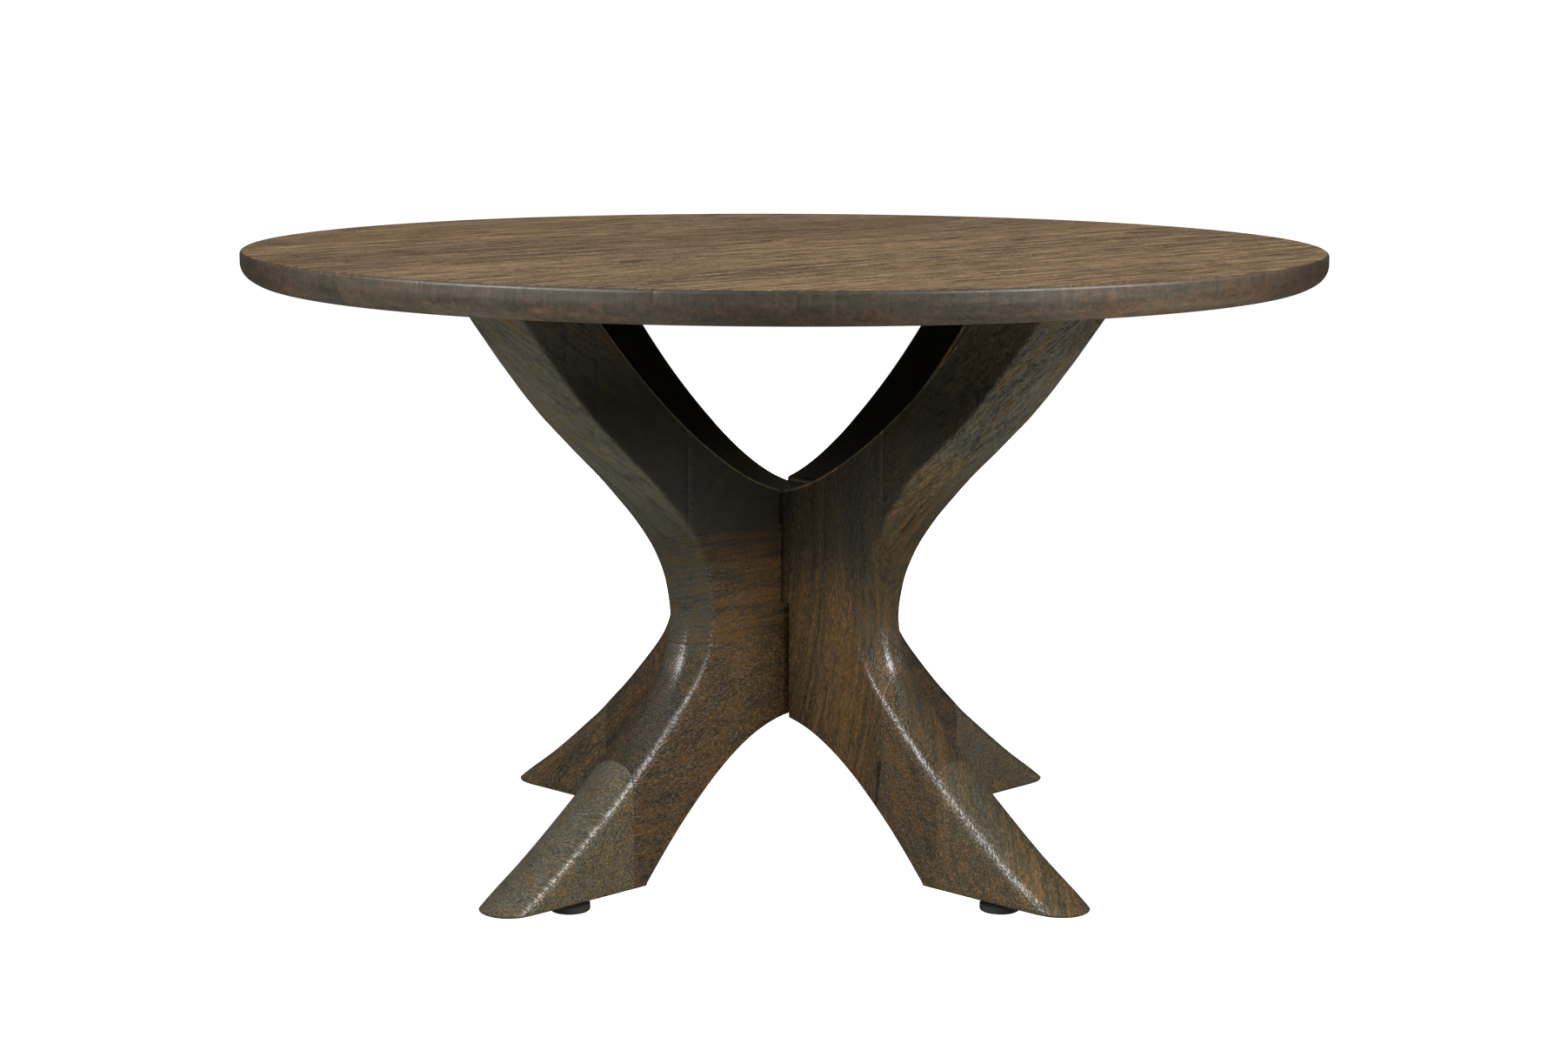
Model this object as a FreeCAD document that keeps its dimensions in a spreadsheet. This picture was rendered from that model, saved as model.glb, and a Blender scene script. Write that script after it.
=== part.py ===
import FreeCAD, Part
import math
import os
import Sketcher
from FreeCAD import Vector, Placement, Rotation

# Round dining table on a crossed-slab pedestal.
# Frame: +Z up, origin on the floor at the table's axis, the front is -Y.
# Slab A runs front-left to back-right, slab B front-right to back-left.
# The tabletop's boards run along slab A.

doc = FreeCAD.newDocument("round_table")
sheet = doc.addObject("Spreadsheet::Sheet", "Dims")
sheet.Label = "Dims"

# ---------------------------------------------------------------- dimensions
dims = [
    # tabletop
    ("top_radius", 660.0), ("top_underside", 728.0), ("top_thick", 40.5),
    ("top_band_low", 754.5), ("top_band_high", 766.0), ("top_soft", 2.5),
    ("under_flat_radius", 624.0), ("under_big", 44.2), ("under_small", 21.0),
    ("under_join_x", 652.6), ("under_join_z", 738.5),
    # board seams, measured across the grain from the axis
    ("seam_a", -570.0), ("seam_b", -470.0), ("seam_c", -355.0), ("seam_d", -228.0),
    ("seam_e", -96.0), ("seam_f", 35.0), ("seam_g", 168.0), ("seam_h2", 300.0),
    ("seam_i", 400.0), ("seam_j", 525.0),
    # crossed slabs
    ("slab_thick", 73.6), ("arm_top", 722.0), ("foot_under", 18.0),
    ("lap_height", 333.0), ("lap_gap_up", 5.0), ("lap_gap_low", 9.0),
    # glue lines of the slabs
    ("glue_core", 104.0), ("glue_waist", 200.0), ("glue_heel", 290.0),
    ("glue_arm", 345.0), ("glue_low", 97.0), ("glue_mid", 297.0), ("glue_high", 432.0),
    # outer edge of a slab at its mid-plane: stations by height, and arc radii
    ("edge_a", 496.0), ("edge_b", 405.0), ("edge_c", 325.1), ("edge_d", 254.2),
    ("edge_e", 204.0), ("edge_f", 182.8), ("edge_g", 192.6), ("edge_hh", 228.2),
    ("edge_i", 304.8), ("edge_j", 391.5), ("edge_k", 495.9),
    ("lev_b", 80.0), ("lev_c", 140.0), ("lev_d", 200.0), ("lev_e", 260.0),
    ("lev_f", 320.0), ("lev_g", 380.0), ("lev_hh", 440.0), ("lev_i", 520.0), ("lev_j", 600.0),
    ("bow_ab", 1823.2), ("bow_bc", 2659.4), ("bow_cd", 1000.7), ("bow_de", 299.3),
    ("bow_ef", 151.3), ("bow_fg", 120.9), ("bow_gh", 350.8), ("bow_hi", 621.7),
    ("bow_ij", 2850.2), ("bow_jk", 1431.6),
    # square envelope that cuts the long chamfers: half width at the same heights
    ("env_a", 362.6), ("env_b", 298.3), ("env_c", 241.8), ("env_d", 191.6),
    ("env_e", 155.4), ("env_f", 139.7), ("env_g", 146.7), ("env_hh", 173.9),
    ("env_i", 231.6), ("env_j", 293.6), ("env_k", 367.5),
    ("cut_ab", 1378.7), ("cut_bc", 2109.7), ("cut_cd", 844.7), ("cut_de", 318.9),
    ("cut_ef", 178.5), ("cut_fg", 166.4), ("cut_gh", 265.2), ("cut_hi", 727.9),
    ("cut_ij", 1637.0), ("cut_jk", 1417.9),
    # upper V between the arms
    ("vee_a_z", 469.2), ("vee_b_u", 62.0), ("vee_b_z", 480.1), ("vee_c_u", 112.0),
    ("vee_c_z", 503.0), ("vee_d_u", 168.0), ("vee_d_z", 539.3), ("vee_e_u", 259.0),
    ("vee_e_z", 615.3), ("vee_f_u", 359.6),
    ("vee_ab", 178.6), ("vee_bc", 319.3), ("vee_cd", 557.4), ("vee_de", 980.2), ("vee_ef", 1186.4),
    # arch between the legs
    ("arch_a_z", 192.5), ("arch_b_u", 82.0), ("arch_b_z", 176.7), ("arch_c_u", 155.0),
    ("arch_c_z", 132.4), ("arch_d_u", 222.0), ("arch_d_z", 71.5), ("arch_e_u", 270.0),
    ("arch_ab", 181.8), ("arch_bc", 335.1), ("arch_cd", 646.7), ("arch_de", 1096.9),
    # steel fixing plates between arms and tabletop
    ("plate_long", 160.0), ("plate_wide", 60.0), ("plate_thick", 6.0), ("plate_corner", 8.0),
    ("plate_at", 428.0), ("slot_at", 60.0), ("slot_wide", 9.0), ("slot_run", 8.0),
    ("screw_pitch", 32.0), ("screw_dia", 5.5), ("screw_head", 11.5), ("screw_long", 55.0),
    ("bolt_dia", 7.9), ("bolt_long", 28.0), ("bolt_head", 13.0), ("bolt_head_thick", 5.3),
    ("washer_dia", 20.0), ("washer_thick", 1.6),
    ("insert_dia", 12.0), ("insert_bore", 8.0), ("insert_long", 22.0),
    # levelling glides
    ("glide_at", 360.0), ("pad_dia", 48.0), ("pad_high", 11.0), ("pad_edge", 3.0),
    ("pad_cell_dia", 16.0), ("pad_cell_low", 4.0), ("pad_cell_high", 7.5), ("pad_neck_dia", 10.1),
    ("disc_dia", 15.9), ("disc_low", 4.05), ("disc_high", 7.45), ("neck_dia", 10.0),
    ("collar_low", 11.3), ("collar_high", 16.5), ("collar_flats", 15.0),
    ("thread_dia", 9.9), ("stem_top", 70.0),
    ("sleeve_dia", 14.0), ("sleeve_bore", 10.0), ("sleeve_long", 26.0),
    ("sleeve_flange", 20.0), ("sleeve_flange_thick", 1.5), ("stem_room_dia", 12.0), ("stem_room_top", 84.0),
]
dim = {}
for i, (name, value) in enumerate(dims):
    row = i + 1
    sheet.set("A%d" % row, name)
    sheet.set("B%d" % row, repr(value))
    sheet.setAlias("B%d" % row, name)
doc.recompute()
for name, value in dims:
    dim[name] = float(sheet.get(name))


def bind(obj, prop, text):
    """Bind a property to cells: words that are aliases become Dims.word."""
    out, word = "", ""
    for ch in text + " ":
        if ch.isalnum() or ch == "_":
            word += ch
        else:
            out += ("Dims." + word) if word in dim else word
            out += ch
            word = ""
    obj.setExpression(prop, out.strip())


# ---------------------------------------------------------------- sketches
def arc_between(p, q, radius, left):
    """Arc of the given radius from p to q; left puts its centre on the left."""
    mx, my = (p[0] + q[0]) / 2.0, (p[1] + q[1]) / 2.0
    dx, dy = q[0] - p[0], q[1] - p[1]
    d = math.hypot(dx, dy)
    rise = math.sqrt(max(radius * radius - d * d / 4.0, 0.0))
    side = 1.0 if left else -1.0
    cx, cy = mx - side * dy / d * rise, my + side * dx / d * rise
    a = math.atan2(p[1] - cy, p[0] - cx)
    b = math.atan2(q[1] - cy, q[0] - cx)
    circle = Part.Circle(Vector(cx, cy, 0), Vector(0, 0, 1), radius)
    if left:                                  # counter-clockwise from p to q
        return Part.ArcOfCircle(circle, a, b), 1, 2
    return Part.ArcOfCircle(circle, b, a), 2, 1


def value(text):
    """A coordinate is a cell's name or a number."""
    return dim[text] if isinstance(text, str) else float(text)


def outline(sketch, corners):
    """Closed outline. corners: (x, y, radius or None, left) where the arc or
    line runs from this corner to the next one. Each corner is fixed by its
    distances from the origin and each arc by its radius."""
    n = len(corners)
    ends = []
    for i in range(n):
        x, y, radius, left = corners[i]
        p = (value(x), value(y))
        q = (value(corners[(i + 1) % n][0]), value(corners[(i + 1) % n][1]))
        if radius is None:
            g = sketch.addGeometry(Part.LineSegment(Vector(p[0], p[1], 0), Vector(q[0], q[1], 0)), False)
            ends.append((g, 1, 2))
        else:
            curve, first, last = arc_between(p, q, value(radius), left)
            g = sketch.addGeometry(curve, False)
            ends.append((g, first, last))
    for i in range(n):
        g, first, last = ends[i]
        g2, first2, last2 = ends[(i + 1) % n]
        sketch.addConstraint(Sketcher.Constraint("Coincident", g, last, g2, first2))
    for i in range(n):
        x, y, radius, left = corners[i]
        g, first, last = ends[i]
        if value(x) == 0.0:
            sketch.addConstraint(Sketcher.Constraint("PointOnObject", g, first, -2))
        else:
            c = sketch.addConstraint(Sketcher.Constraint("DistanceX", -1, 1, g, first, value(x)))
            if isinstance(x, str):
                sketch.renameConstraint(c, "x%d_%s" % (i, x))
                sketch.setExpression("Constraints.x%d_%s" % (i, x), "Dims." + x)
        if value(y) == 0.0:
            sketch.addConstraint(Sketcher.Constraint("PointOnObject", g, first, -1))
        else:
            c = sketch.addConstraint(Sketcher.Constraint("DistanceY", -1, 1, g, first, value(y)))
            if isinstance(y, str):
                sketch.renameConstraint(c, "y%d_%s" % (i, y))
                sketch.setExpression("Constraints.y%d_%s" % (i, y), "Dims." + y)
        if radius is not None:
            c = sketch.addConstraint(Sketcher.Constraint("Radius", g, value(radius)))
            if isinstance(radius, str):
                sketch.renameConstraint(c, "r%d_%s" % (i, radius))
                sketch.setExpression("Constraints.r%d_%s" % (i, radius), "Dims." + radius)


UPRIGHT = Rotation(Vector(1, 0, 0), 90)       # sketch x -> X, sketch y -> Z


def upright_sketch(name, corners):
    sketch = doc.addObject("Sketcher::SketchObject", name)
    sketch.Placement = Placement(Vector(0, 0, 0), UPRIGHT)
    outline(sketch, corners)
    return sketch


def extrude(name, sketch, reach_text):
    solid = doc.addObject("Part::Extrusion", name)
    solid.Base = sketch
    solid.DirMode = "Custom"
    solid.Dir = Vector(0, 1, 0)
    solid.Solid = True
    solid.Symmetric = True
    bind(solid, "LengthFwd", reach_text)
    return solid


def mirrored(name, half):
    other = doc.addObject("Part::Mirroring", name + "_other")
    other.Source = half
    other.Normal = Vector(1, 0, 0)
    both = doc.addObject("Part::Fuse", name)
    both.Base = half
    both.Tool = other
    both.Refine = True
    return both


def box(name, x0, x1, y0, y1, z0, z1):
    """Box between bounds given as expressions of cells."""
    b = doc.addObject("Part::Box", name)
    bind(b, "Length", "(%s) - (%s)" % (x1, x0))
    bind(b, "Width", "(%s) - (%s)" % (y1, y0))
    bind(b, "Height", "(%s) - (%s)" % (z1, z0))
    bind(b, "Placement.Base.x", x0)
    bind(b, "Placement.Base.y", y0)
    bind(b, "Placement.Base.z", z0)
    return b


def cylinder(name, dia, high, x, y, z, turn=None):
    c = doc.addObject("Part::Cylinder", name)
    bind(c, "Radius", "(%s) / 2" % dia)
    bind(c, "Height", high)
    bind(c, "Placement.Base.x", x)
    bind(c, "Placement.Base.y", y)
    bind(c, "Placement.Base.z", z)
    return c


def boolean(kind, name, base, tool, refine=False):
    r = doc.addObject(kind, name)
    r.Base = base
    r.Tool = tool
    r.Refine = refine
    return r


def joined(name, parts):
    r = doc.addObject("Part::MultiFuse", name)
    r.Shapes = parts
    r.Refine = False
    return r


# ---------------------------------------------------------------- slab blank
slab_half = [
    (0.0, "arch_a_z", "arch_ab", False),
    ("arch_b_u", "arch_b_z", "arch_bc", False),
    ("arch_c_u", "arch_c_z", "arch_cd", False),
    ("arch_d_u", "arch_d_z", "arch_de", False),
    ("arch_e_u", "foot_under", None, False),
    ("edge_a", "foot_under", "bow_ab", False),
    ("edge_b", "lev_b", "bow_bc", False),
    ("edge_c", "lev_c", "bow_cd", False),
    ("edge_d", "lev_d", "bow_de", False),
    ("edge_e", "lev_e", "bow_ef", False),
    ("edge_f", "lev_f", "bow_fg", False),
    ("edge_g", "lev_g", "bow_gh", False),
    ("edge_hh", "lev_hh", "bow_hi", False),
    ("edge_i", "lev_i", "bow_ij", True),
    ("edge_j", "lev_j", "bow_jk", True),
    ("edge_k", "arm_top", None, False),
    ("vee_f_u", "arm_top", "vee_ef", False),
    ("vee_e_u", "vee_e_z", "vee_de", False),
    ("vee_d_u", "vee_d_z", "vee_cd", False),
    ("vee_c_u", "vee_c_z", "vee_bc", False),
    ("vee_b_u", "vee_b_z", "vee_ab", False),
    (0.0, "vee_a_z", None, False),
]
slab = mirrored("slab_full", extrude("slab_half", upright_sketch("slab_outline", slab_half), "slab_thick"))

# The long chamfers are cut where each slab meets a square envelope whose
# sides face front, back, left and right.
env_half = [
    (0.0, "foot_under", None, False),
    ("env_a", "foot_under", "cut_ab", False),
    ("env_b", "lev_b", "cut_bc", False),
    ("env_c", "lev_c", "cut_cd", False),
    ("env_d", "lev_d", "cut_de", False),
    ("env_e", "lev_e", "cut_ef", False),
    ("env_f", "lev_f", "cut_fg", False),
    ("env_g", "lev_g", "cut_gh", False),
    ("env_hh", "lev_hh", "cut_hi", False),
    ("env_i", "lev_i", "cut_ij", True),
    ("env_j", "lev_j", "cut_jk", True),
    ("env_k", "arm_top", None, False),
    (0.0, "arm_top", None, False),
]
env_sketch = upright_sketch("envelope_outline", env_half)
env_one = mirrored("envelope_one", extrude("envelope_half", env_sketch, "2 * env_k + 200"))
env_two_sketch = upright_sketch("envelope_outline_two", env_half)
env_two_half = extrude("envelope_two_half", env_two_sketch, "2 * env_k + 200")
env_two = mirrored("envelope_two", env_two_half)
env_two.Placement = Placement(Vector(0, 0, 0), Rotation(Vector(0, 0, 1), 90))
envelope = boolean("Part::Common", "envelope", env_one, env_two)
envelope.Placement = Placement(Vector(0, 0, 0), Rotation(Vector(0, 0, 1), 45))
blank = boolean("Part::Common", "slab_blank", slab, envelope)

# half-lap slots: slab A is open above the lap, slab B below it
slot_a = box("slot_upper", "0 - slab_thick / 2 - lap_gap_up", "slab_thick / 2 + lap_gap_up",
             "0 - slab_thick", "slab_thick", "lap_height", "arm_top + 20")
slot_b = box("slot_lower", "0 - slab_thick / 2 - lap_gap_low", "slab_thick / 2 + lap_gap_low",
             "0 - slab_thick", "slab_thick", "0 - 10", "lap_height")
blank_a = boolean("Part::Cut", "slab_a_blank", blank, slot_a)
blank_b = boolean("Part::Cut", "slab_b_blank", blank, slot_b)

nodes = []


def place(obj, label, turn=0.0, at=(0.0, 0.0, 0.0)):
    obj.Label = label
    obj.Placement = Placement(Vector(*at), Rotation(Vector(0, 0, 1), turn))
    nodes.append(obj)
    return obj


# holes in the outer arm blocks (two wood screws) and in the foot blocks (sleeve
# and room for the stem), in the slab's own frame
def arm_holes(tag, sign):
    out = []
    for k, s in (("in", "-"), ("out", "+")):
        x = "%s1 * (plate_at %s screw_pitch / 2)" % (sign, s)
        out.append(cylinder("hole_%s_%s" % (tag, k), "screw_dia", "screw_long", x, "0", "arm_top + plate_thick - screw_long"))
    return joined("holes_" + tag, out)


def foot_holes(tag, sign):
    x = "%s1 * glide_at" % sign
    return joined("room_" + tag, [
        cylinder("sleeve_hole_" + tag, "sleeve_dia", "sleeve_long", x, "0", "foot_under"),
        cylinder("flange_hole_" + tag, "sleeve_flange", "sleeve_flange_thick", x, "0", "foot_under"),
        cylinder("stem_hole_" + tag, "stem_room_dia", "stem_room_top - foot_under", x, "0", "foot_under"),
    ])


WIDE = "0 - slab_thick", "slab_thick"
TOP, LOW = "arm_top + 20", "0 - 5"
TURN_A, TURN_B = 45.0, -45.0


def block(name, source, turn, x0, x1, z0, z1, holes=None):
    region = box("zone_" + name, x0, x1, WIDE[0], WIDE[1], z0, z1)
    if holes is None:
        return place(boolean("Part::Common", "blk_" + name, source, region), name, turn)
    rough = boolean("Part::Common", "raw_" + name, source, region)
    return place(boolean("Part::Cut", "blk_" + name, rough, holes), name, turn)


# slab A: boards laid flat through the waist, upright blocks in arms and feet.
# Along slab A the negative side is the front left, the positive the back right.
block("slab_a_lower_board", blank_a, TURN_A, "0 - glue_heel", "glue_heel", "glue_low", "glue_mid")
block("slab_a_waist_board", blank_a, TURN_A, "0 - glue_heel", "glue_heel", "glue_mid", "glue_high")
for side, sign, flip in (("front_left", "0 - ", True), ("back_right", "", False)):
    def span(a, b):
        return ("0 - (%s)" % b, "0 - (%s)" % a) if flip else (a, b)
    block("slab_a_heel_" + side, blank_a, TURN_A, *span("glue_core", "glue_heel"), LOW, "glue_low")
    block("slab_a_foot_" + side, blank_a, TURN_A, *span("glue_heel", "edge_a + 10"), LOW, "lev_f",
          foot_holes("a_" + side, sign))
    block("slab_a_shoulder_" + side, blank_a, TURN_A, *span("10", "glue_waist"), "glue_high", TOP)
    block("slab_a_arm_inner_" + side, blank_a, TURN_A, *span("glue_waist", "glue_arm"), "glue_high", TOP)
    block("slab_a_arm_outer_" + side, blank_a, TURN_A, *span("glue_arm", "edge_k + 10"), "glue_high", TOP,
          arm_holes("a_" + side, sign))

# slab B: upright staves throughout. Along slab B the positive side is the front right.
block("slab_b_core", blank_b, TURN_B, "0 - glue_core", "glue_core", LOW, TOP)
for side, sign, flip in (("back_left", "0 - ", True), ("front_right", "", False)):
    def span(a, b):
        return ("0 - (%s)" % b, "0 - (%s)" % a) if flip else (a, b)
    block("slab_b_waist_" + side, blank_b, TURN_B, *span("glue_core", "glue_waist"), LOW, TOP)
    block("slab_b_leg_" + side, blank_b, TURN_B, *span("glue_waist", "glue_heel"), LOW, "lev_f")
    block("slab_b_foot_" + side, blank_b, TURN_B, *span("glue_heel", "edge_a + 10"), LOW, "lev_f",
          foot_holes("b_" + side, sign))
    block("slab_b_arm_inner_" + side, blank_b, TURN_B, *span("glue_waist", "glue_arm"), "lev_f", TOP)
    block("slab_b_arm_outer_" + side, blank_b, TURN_B, *span("glue_arm", "edge_k + 10"), "lev_f", TOP,
          arm_holes("b_" + side, sign))

# ---------------------------------------------------------------- tabletop
# The disc's half section: flat underside, a convex underbevel of two arcs, an
# upright band and a small eased top edge.
disc_body = doc.addObject("PartDesign::Body", "disc")
disc_sketch = disc_body.newObject("Sketcher::SketchObject", "disc_section")
disc_sketch.AttachmentSupport = [([o for o in disc_body.Origin.OriginFeatures if o.Role == "XZ_Plane"][0], "")]
disc_sketch.MapMode = "FlatFace"
doc.recompute()
dim_top_face = dim["top_underside"] + dim["top_thick"]
disc_corners = [
    (0.0, "top_underside", None, False),
    ("under_flat_radius", "top_underside", "under_big", True),
    ("under_join_x", "under_join_z", "under_small", True),
    ("top_radius", "top_band_low", None, False),
    ("top_radius", "top_band_high", None, False),
    (dim["top_radius"] - dim["top_soft"], dim_top_face, None, False),
    (0.0, dim_top_face, None, False),
]
outline(disc_sketch, disc_corners)
disc = disc_body.newObject("PartDesign::Revolution", "disc_turned")
disc.Profile = disc_sketch
disc.ReferenceAxis = (disc_sketch, ["V_Axis"])
disc.Angle = 360.0
doc.recompute()

seams = ["0 - top_radius - 10", "seam_a", "seam_b", "seam_c", "seam_d", "seam_e", "seam_f",
         "seam_g", "seam_h2", "seam_i", "seam_j", "top_radius + 10"]

# threaded inserts: for slab A's arms the pair sits across the slab, for slab B's
# arms the pair sits across that slab, all given in the boards' frame
insert_spots = []
for sx in (-1, 1):
    for sy in (-1, 1):
        insert_spots.append(("%d * plate_at" % sx, "%d * slot_at" % sy))
        insert_spots.append(("%d * slot_at" % sy, "%d * plate_at" % sx))

insert_holes = joined("insert_holes", [
    cylinder("insert_hole_%d" % i, "insert_dia", "insert_long", x, y, "top_underside")
    for i, (x, y) in enumerate(insert_spots)])
disc_drilled = boolean("Part::Cut", "disc_drilled", disc_body, insert_holes)

for i in range(len(seams) - 1):
    zone = box("zone_board_%02d" % (i + 1), "0 - top_radius - 10", "top_radius + 10",
               seams[i], seams[i + 1], "top_underside - 5", "top_underside + top_thick + 5")
    place(boolean("Part::Common", "board_%02d" % (i + 1), disc_drilled, zone), "top_board_%02d" % (i + 1), TURN_A)

# ---------------------------------------------------------------- fixing plates
# A plate lies on each arm's end; its wings carry slots that run across the
# tabletop's grain, so the boards can swell and shrink.


def plate(name, turn, slot_along_length):
    base = box("raw_" + name, "plate_at - plate_wide / 2", "plate_at + plate_wide / 2",
               "0 - plate_long / 2", "plate_long / 2", "arm_top", "arm_top + plate_thick")
    soft = doc.addObject("Part::Fillet", "soft_" + name)
    soft.Base = base
    doc.recompute()
    upright = []
    for k, e in enumerate(base.Shape.Edges):
        if abs(e.BoundBox.ZLength - dim["plate_thick"]) < 1e-6 and e.BoundBox.XLength < 1e-6 and e.BoundBox.YLength < 1e-6:
            upright.append((k + 1, dim["plate_corner"], dim["plate_corner"]))
    soft.Edges = upright
    cuts = []
    for k, sg in (("n", "-1"), ("p", "1")):
        if slot_along_length:
            cuts.append(box("slot_%s_%s" % (name, k), "plate_at - slot_wide / 2", "plate_at + slot_wide / 2",
                            "%s * slot_at - slot_run / 2" % sg, "%s * slot_at + slot_run / 2" % sg,
                            "arm_top - 2", "arm_top + plate_thick + 2"))
            ends = [("plate_at", "%s * slot_at - slot_run / 2" % sg), ("plate_at", "%s * slot_at + slot_run / 2" % sg)]
        else:
            cuts.append(box("slot_%s_%s" % (name, k), "plate_at - slot_run / 2", "plate_at + slot_run / 2",
                            "%s * slot_at - slot_wide / 2" % sg, "%s * slot_at + slot_wide / 2" % sg,
                            "arm_top - 2", "arm_top + plate_thick + 2"))
            ends = [("plate_at - slot_run / 2", "%s * slot_at" % sg), ("plate_at + slot_run / 2", "%s * slot_at" % sg)]
        for m, (x, y) in enumerate(ends):
            cuts.append(cylinder("slot_end_%s_%s%d" % (name, k, m), "slot_wide", "plate_thick + 4", x, y, "arm_top - 2"))
        x = "plate_at + %s * screw_pitch / 2" % sg
        cuts.append(cylinder("screw_way_%s_%s" % (name, k), "screw_dia", "plate_thick + 4", x, "0", "arm_top - 2"))
        sink = doc.addObject("Part::Cone", "sink_%s_%s" % (name, k))
        bind(sink, "Radius1", "screw_dia / 2")
        bind(sink, "Radius2", "screw_head / 2")
        bind(sink, "Height", "(screw_head - screw_dia) / 2")
        bind(sink, "Placement.Base.x", x)
        bind(sink, "Placement.Base.z", "arm_top + plate_thick - (screw_head - screw_dia) / 2")
        cuts.append(sink)
    return place(boolean("Part::Cut", "cut_" + name, soft, joined("cuts_" + name, cuts)), name, turn)


ARMS = [("front_left", 225.0, True), ("front_right", 315.0, False),
        ("back_right", 45.0, True), ("back_left", 135.0, False)]
for side, turn, along in ARMS:
    plate("fixing_plate_" + side, turn, along)


def grouped(label, makers):
    """Separate identical solids that share one node."""
    g = doc.addObject("Part::Compound", "grp_" + label)
    g.Links = makers
    return place(g, label, 0.0)


def turned(name, obj, turn):
    obj.Placement = Placement(Vector(0, 0, 0), Rotation(Vector(0, 0, 1), turn))
    return obj


# wood screws, countersunk into the plates
screws = []
for side, turn, along in ARMS:
    for k, sg in (("n", "-1"), ("p", "1")):
        tag = "%s_%s" % (side, k)
        x = "plate_at + %s * screw_pitch / 2" % sg
        shank = cylinder("shank_" + tag, "screw_dia", "screw_long - 9", x, "0",
                         "arm_top + plate_thick - screw_long + 6")
        head = doc.addObject("Part::Cone", "head_" + tag)
        bind(head, "Radius1", "screw_dia / 2")
        bind(head, "Radius2", "screw_head / 2")
        bind(head, "Height", "(screw_head - screw_dia) / 2")
        bind(head, "Placement.Base.x", x)
        bind(head, "Placement.Base.z", "arm_top + plate_thick - (screw_head - screw_dia) / 2")
        tip = doc.addObject("Part::Cone", "tip_" + tag)
        bind(tip, "Radius1", "0.5")
        bind(tip, "Radius2", "screw_dia / 2")
        bind(tip, "Height", "6")
        bind(tip, "Placement.Base.x", x)
        bind(tip, "Placement.Base.z", "arm_top + plate_thick - screw_long")
        screws.append(turned(tag, joined("screw_" + tag, [shank, head, tip]), turn))
grouped("plate_screws", screws)

# hexagon bolts, washers and threaded inserts of the tabletop
bolts, washers, inserts = [], [], []
for i, (x, y) in enumerate(insert_spots):
    shank = cylinder("bolt_shank_%d" % i, "bolt_dia", "bolt_long", x, y, "arm_top - washer_thick")
    head = doc.addObject("Part::Prism", "bolt_head_%d" % i)
    head.Polygon = 6
    bind(head, "Circumradius", "bolt_head / 1.7320508")
    bind(head, "Height", "bolt_head_thick")
    bind(head, "Placement.Base.x", x)
    bind(head, "Placement.Base.y", y)
    bind(head, "Placement.Base.z", "arm_top - washer_thick - bolt_head_thick")
    bolts.append(turned("", joined("bolt_%d" % i, [shank, head]), TURN_A))
    disc_w = cylinder("washer_disc_%d" % i, "washer_dia", "washer_thick", x, y, "arm_top - washer_thick")
    bore_w = cylinder("washer_bore_%d" % i, "bolt_dia + 0.5", "washer_thick + 4", x, y, "arm_top - washer_thick - 2")
    washers.append(turned("", boolean("Part::Cut", "washer_%d" % i, disc_w, bore_w), TURN_A))
    barrel = cylinder("insert_barrel_%d" % i, "insert_dia", "insert_long", x, y, "top_underside")
    bore = cylinder("insert_bore_%d" % i, "insert_bore", "insert_long + 4", x, y, "top_underside - 2")
    inserts.append(turned("", boolean("Part::Cut", "insert_%d" % i, barrel, bore), TURN_A))
grouped("top_bolts", bolts)
grouped("top_washers", washers)
grouped("top_inserts", inserts)

# ---------------------------------------------------------------- levelling glides
sleeves = []
for side, turn, along in ARMS:
    barrel = cylinder("sleeve_barrel_" + side, "sleeve_dia", "sleeve_long", "glide_at", "0", "foot_under")
    flange = cylinder("sleeve_flange_" + side, "sleeve_flange", "sleeve_flange_thick", "glide_at", "0", "foot_under")
    bore = cylinder("sleeve_bore_" + side, "sleeve_bore", "sleeve_long + 10", "glide_at", "0", "foot_under - 5")
    both = joined("sleeve_solid_" + side, [barrel, flange])
    sleeves.append(turned("", boolean("Part::Cut", "sleeve_" + side, both, bore), turn))
grouped("foot_sleeves", sleeves)


def turned_body(name, corners):
    body = doc.addObject("PartDesign::Body", name)
    sk = body.newObject("Sketcher::SketchObject", name + "_section")
    sk.AttachmentSupport = [([o for o in body.Origin.OriginFeatures if o.Role == "XZ_Plane"][0], "")]
    sk.MapMode = "FlatFace"
    doc.recompute()
    outline(sk, corners)
    rev = body.newObject("PartDesign::Revolution", name + "_turned")
    rev.Profile = sk
    rev.ReferenceAxis = (sk, ["V_Axis"])
    rev.Angle = 360.0
    doc.recompute()
    return body


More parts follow.
